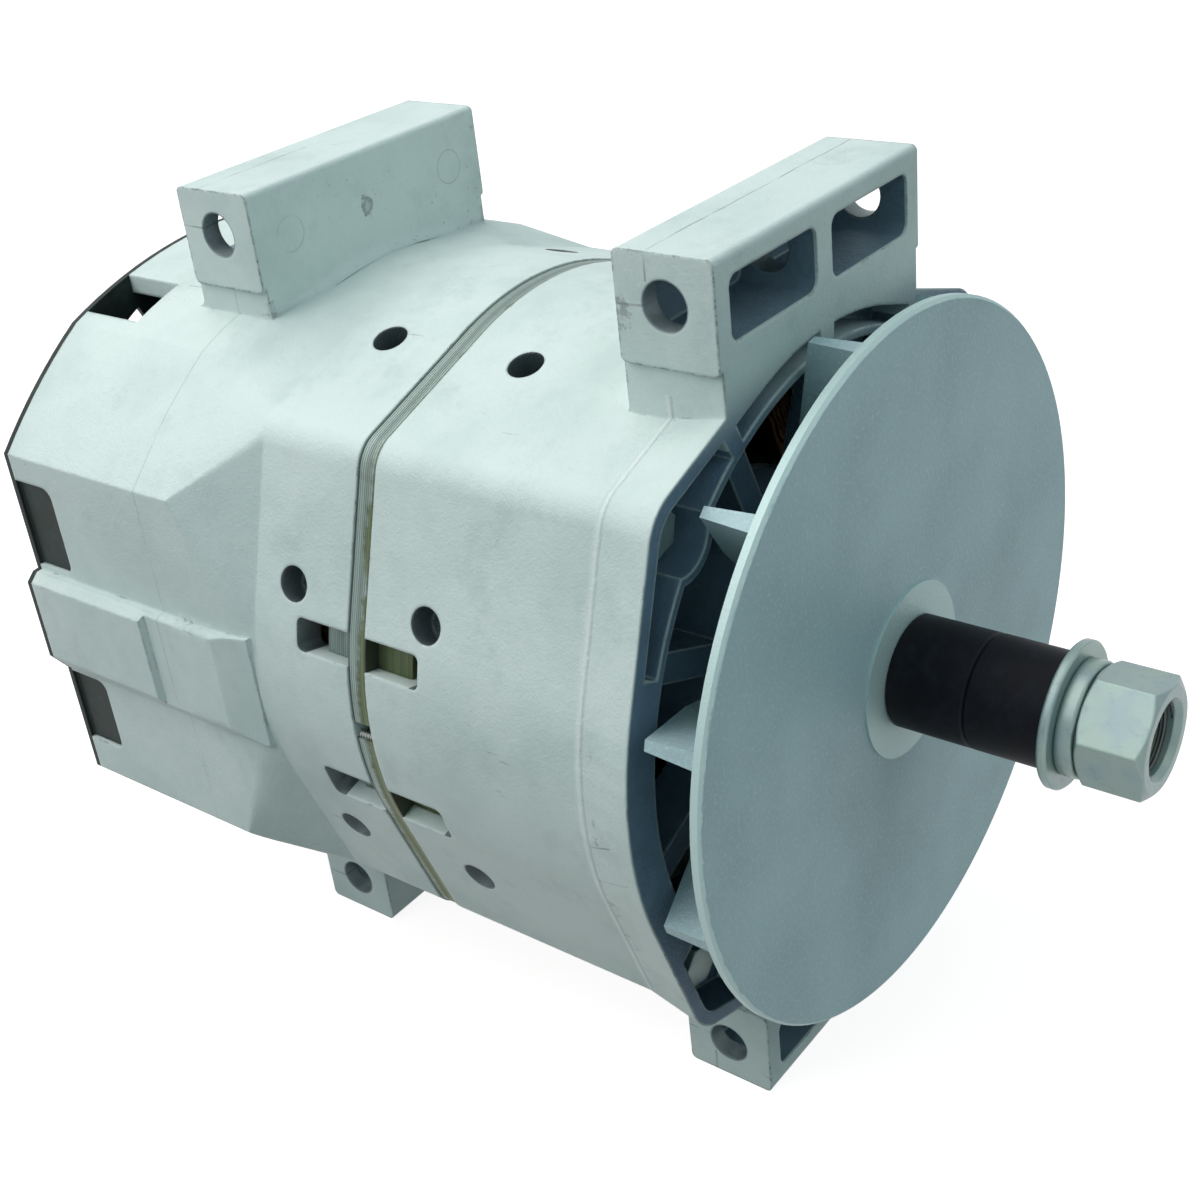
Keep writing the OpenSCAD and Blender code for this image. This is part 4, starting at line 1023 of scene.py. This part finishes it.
class CoreOperator(Operator):
    """Finishes the stator's sheets and windings, the poles and the coil"""
    bl_idname = "alternator.core"
    bl_label = "Core and windings"

    def execute(self, context):
        finish_nodes(sheet_stack(), "stator_core")
        finish_nodes(wound_wire(), "front_end_turns", "rear_end_turns", "field_coil")
        finish_nodes(turned_metal("pole_steel", 0.4, 0.8), "front_pole", "rear_pole")
        finish_nodes(turned_metal("ring_copper", 0.25), "slip_rings")
        return {"FINISHED"}


class HardwareOperator(Operator):
    """Finishes sleeves, washers, nut, bolts, screws, studs and cover"""
    bl_idname = "alternator.hardware"
    bl_label = "Sleeves, fasteners and cover"

    def execute(self, context):
        finish_nodes(black_steel(), "inner_sleeve", "outer_sleeve")
        finish_nodes(painted_cover(), "rear_cover")
        finish_nodes(plated_steel(), "flat_washer", "spring_washer", "shaft_nut", "through_bolts",
                     "retainer_screws", "bearing_retainer", "cover_screws", "ground_stud", "diodes")
        finish_nodes(turned_metal("shaft_steel", 0.34, 0.6), "shaft")
        finish_nodes(turned_metal("brass_stud", 0.3), "output_stud", "stud_nuts")
        return {"FINISHED"}


class BearingsOperator(Operator):
    """Finishes the two ball bearings"""
    bl_idname = "alternator.bearings"
    bl_label = "Bearings"

    def execute(self, context):
        ground = turned_metal("bearing_steel", 0.12)
        finish_nodes(ground, "front_outer_race", "front_inner_race", "front_balls",
                     "rear_outer_race", "rear_inner_race", "rear_balls")
        finish_nodes(turned_metal("cage_steel", 0.35), "front_cage", "rear_cage")
        return {"FINISHED"}


class ElectricsOperator(Operator):
    """Finishes the brush gear, the regulator and the insulators"""
    bl_idname = "alternator.electrics"
    bl_label = "Brushes, regulator and insulators"

    def execute(self, context):
        black = moulded_plastic("black_plastic", 0.45)
        finish_nodes(black, "brush_holder", "regulator", "plate_spacers")
        finish_nodes(moulded_plastic("carbon", 0.6), "brushes")
        finish_nodes(moulded_plastic("red_insulator", 0.4), "stud_insulator")
        return {"FINISHED"}


class ThreadsOperator(Operator):
    """Winds the threads that show in the nut and on the studs"""
    bl_idname = "alternator.threads"
    bl_label = "Threads"

    def execute(self, context):
        look = context.scene.alternator_thread
        # Painted shade: the thread inside the nut is painted dark for the shade there
        shaded = turned_metal("shaded_thread_steel", 0.4, 0.7)
        mouth_y, tip_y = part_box("shaft_nut")[0].y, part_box("shaft")[0].y
        vertices, faces = helix(NUT_BORE_RADIUS, look.shaft_pitch, mouth_y + 1.2 * MM, tip_y + 1.0 * MM,
                                look.depth, look.steps, inward=True)
        mesh_piece("nut_thread", vertices, faces, shaded, "rotor")
        studs = (("output_stud", "brass_stud", look.stud_radius, "stud_nuts"),
                 ("ground_stud", "zinc_steel", look.ground_radius, "rear_cover"))
        for name, slot, radius, cover in studs:
            low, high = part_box(name)
            middle = (low + high) / 2
            first_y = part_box(cover)[1].y + 1.5 * MM
            vertices, faces = helix(radius, look.stud_pitch, first_y, high.y - 0.8 * MM,
                                    look.depth * 0.5, look.steps, centre=(middle.x, middle.z))
            # Each thread has the plain colour that the record gives the stud's slot
            mesh_piece(name + "_thread", vertices, faces, bpy.data.materials[slot], "housing")
        return {"FINISHED"}


class WeldOperator(Operator):
    """Lays a weld bead in each of the core's two notches"""
    bl_idname = "alternator.weld"
    bl_label = "Core weld"

    def execute(self, context):
        look = context.scene.alternator_weld
        bead, rounds = weld_bead(look.start_y, look.end_y, look.radius, look.ripple)
        vertices, faces = [], []
        for side in (-1, 1):
            faces += [tuple(k + len(vertices) for k in face) for face in rounds]
            shift = Vector((side * look.place_x, 0.0, side * look.place_z))
            vertices += [vertex + shift for vertex in bead]
        metal = turned_metal("weld_steel", 0.35, 0.7)
        mesh_piece("core_welds", vertices, faces, metal, "housing")
        return {"FINISHED"}


class AlternatorPanel(Panel):
    """Lists the finishes"""
    bl_idname = "VIEW3D_PT_alternator"
    bl_label = "Alternator"
    bl_space_type = "VIEW_3D"
    bl_region_type = "UI"
    bl_category = "Alternator"

    def draw(self, context):
        for group in GROUPS:
            box = self.layout.box()
            box.label(text=group.__doc__)
            settings = getattr(context.scene, GROUPS[group])
            for name in group.__annotations__:
                box.prop(settings, name)
        for operator in OPERATORS:
            self.layout.operator(operator.bl_idname)


GROUPS = {
    CameraSettings: "alternator_camera",
    StageSettings: "alternator_stage",
    CastingSettings: "alternator_casting",
    FanSettings: "alternator_fan",
    SteelSettings: "alternator_steel",
    ThreadSettings: "alternator_thread",
    WeldSettings: "alternator_weld",
}
OPERATORS = (StageOperator, CastingsOperator, FanOperator, CoreOperator, HardwareOperator,
             BearingsOperator, ElectricsOperator, ThreadsOperator, WeldOperator)


def register():
    for group, name in GROUPS.items():
        bpy.utils.register_class(group)
        setattr(bpy.types.Scene, name, PointerProperty(type=group))
    for operator in OPERATORS:
        bpy.utils.register_class(operator)
    bpy.utils.register_class(AlternatorPanel)


def unregister():
    bpy.utils.unregister_class(AlternatorPanel)
    for operator in reversed(OPERATORS):
        bpy.utils.unregister_class(operator)
    for group, name in reversed(GROUPS.items()):
        delattr(bpy.types.Scene, name)
        bpy.utils.unregister_class(group)


def main():
    register()
    bpy.ops.alternator.stage()
    bpy.ops.alternator.castings()
    bpy.ops.alternator.fan()
    bpy.ops.alternator.core()
    bpy.ops.alternator.hardware()
    bpy.ops.alternator.bearings()
    bpy.ops.alternator.electrics()
    bpy.ops.alternator.threads()
    bpy.ops.alternator.weld()


if __name__ == "__main__":
    main()
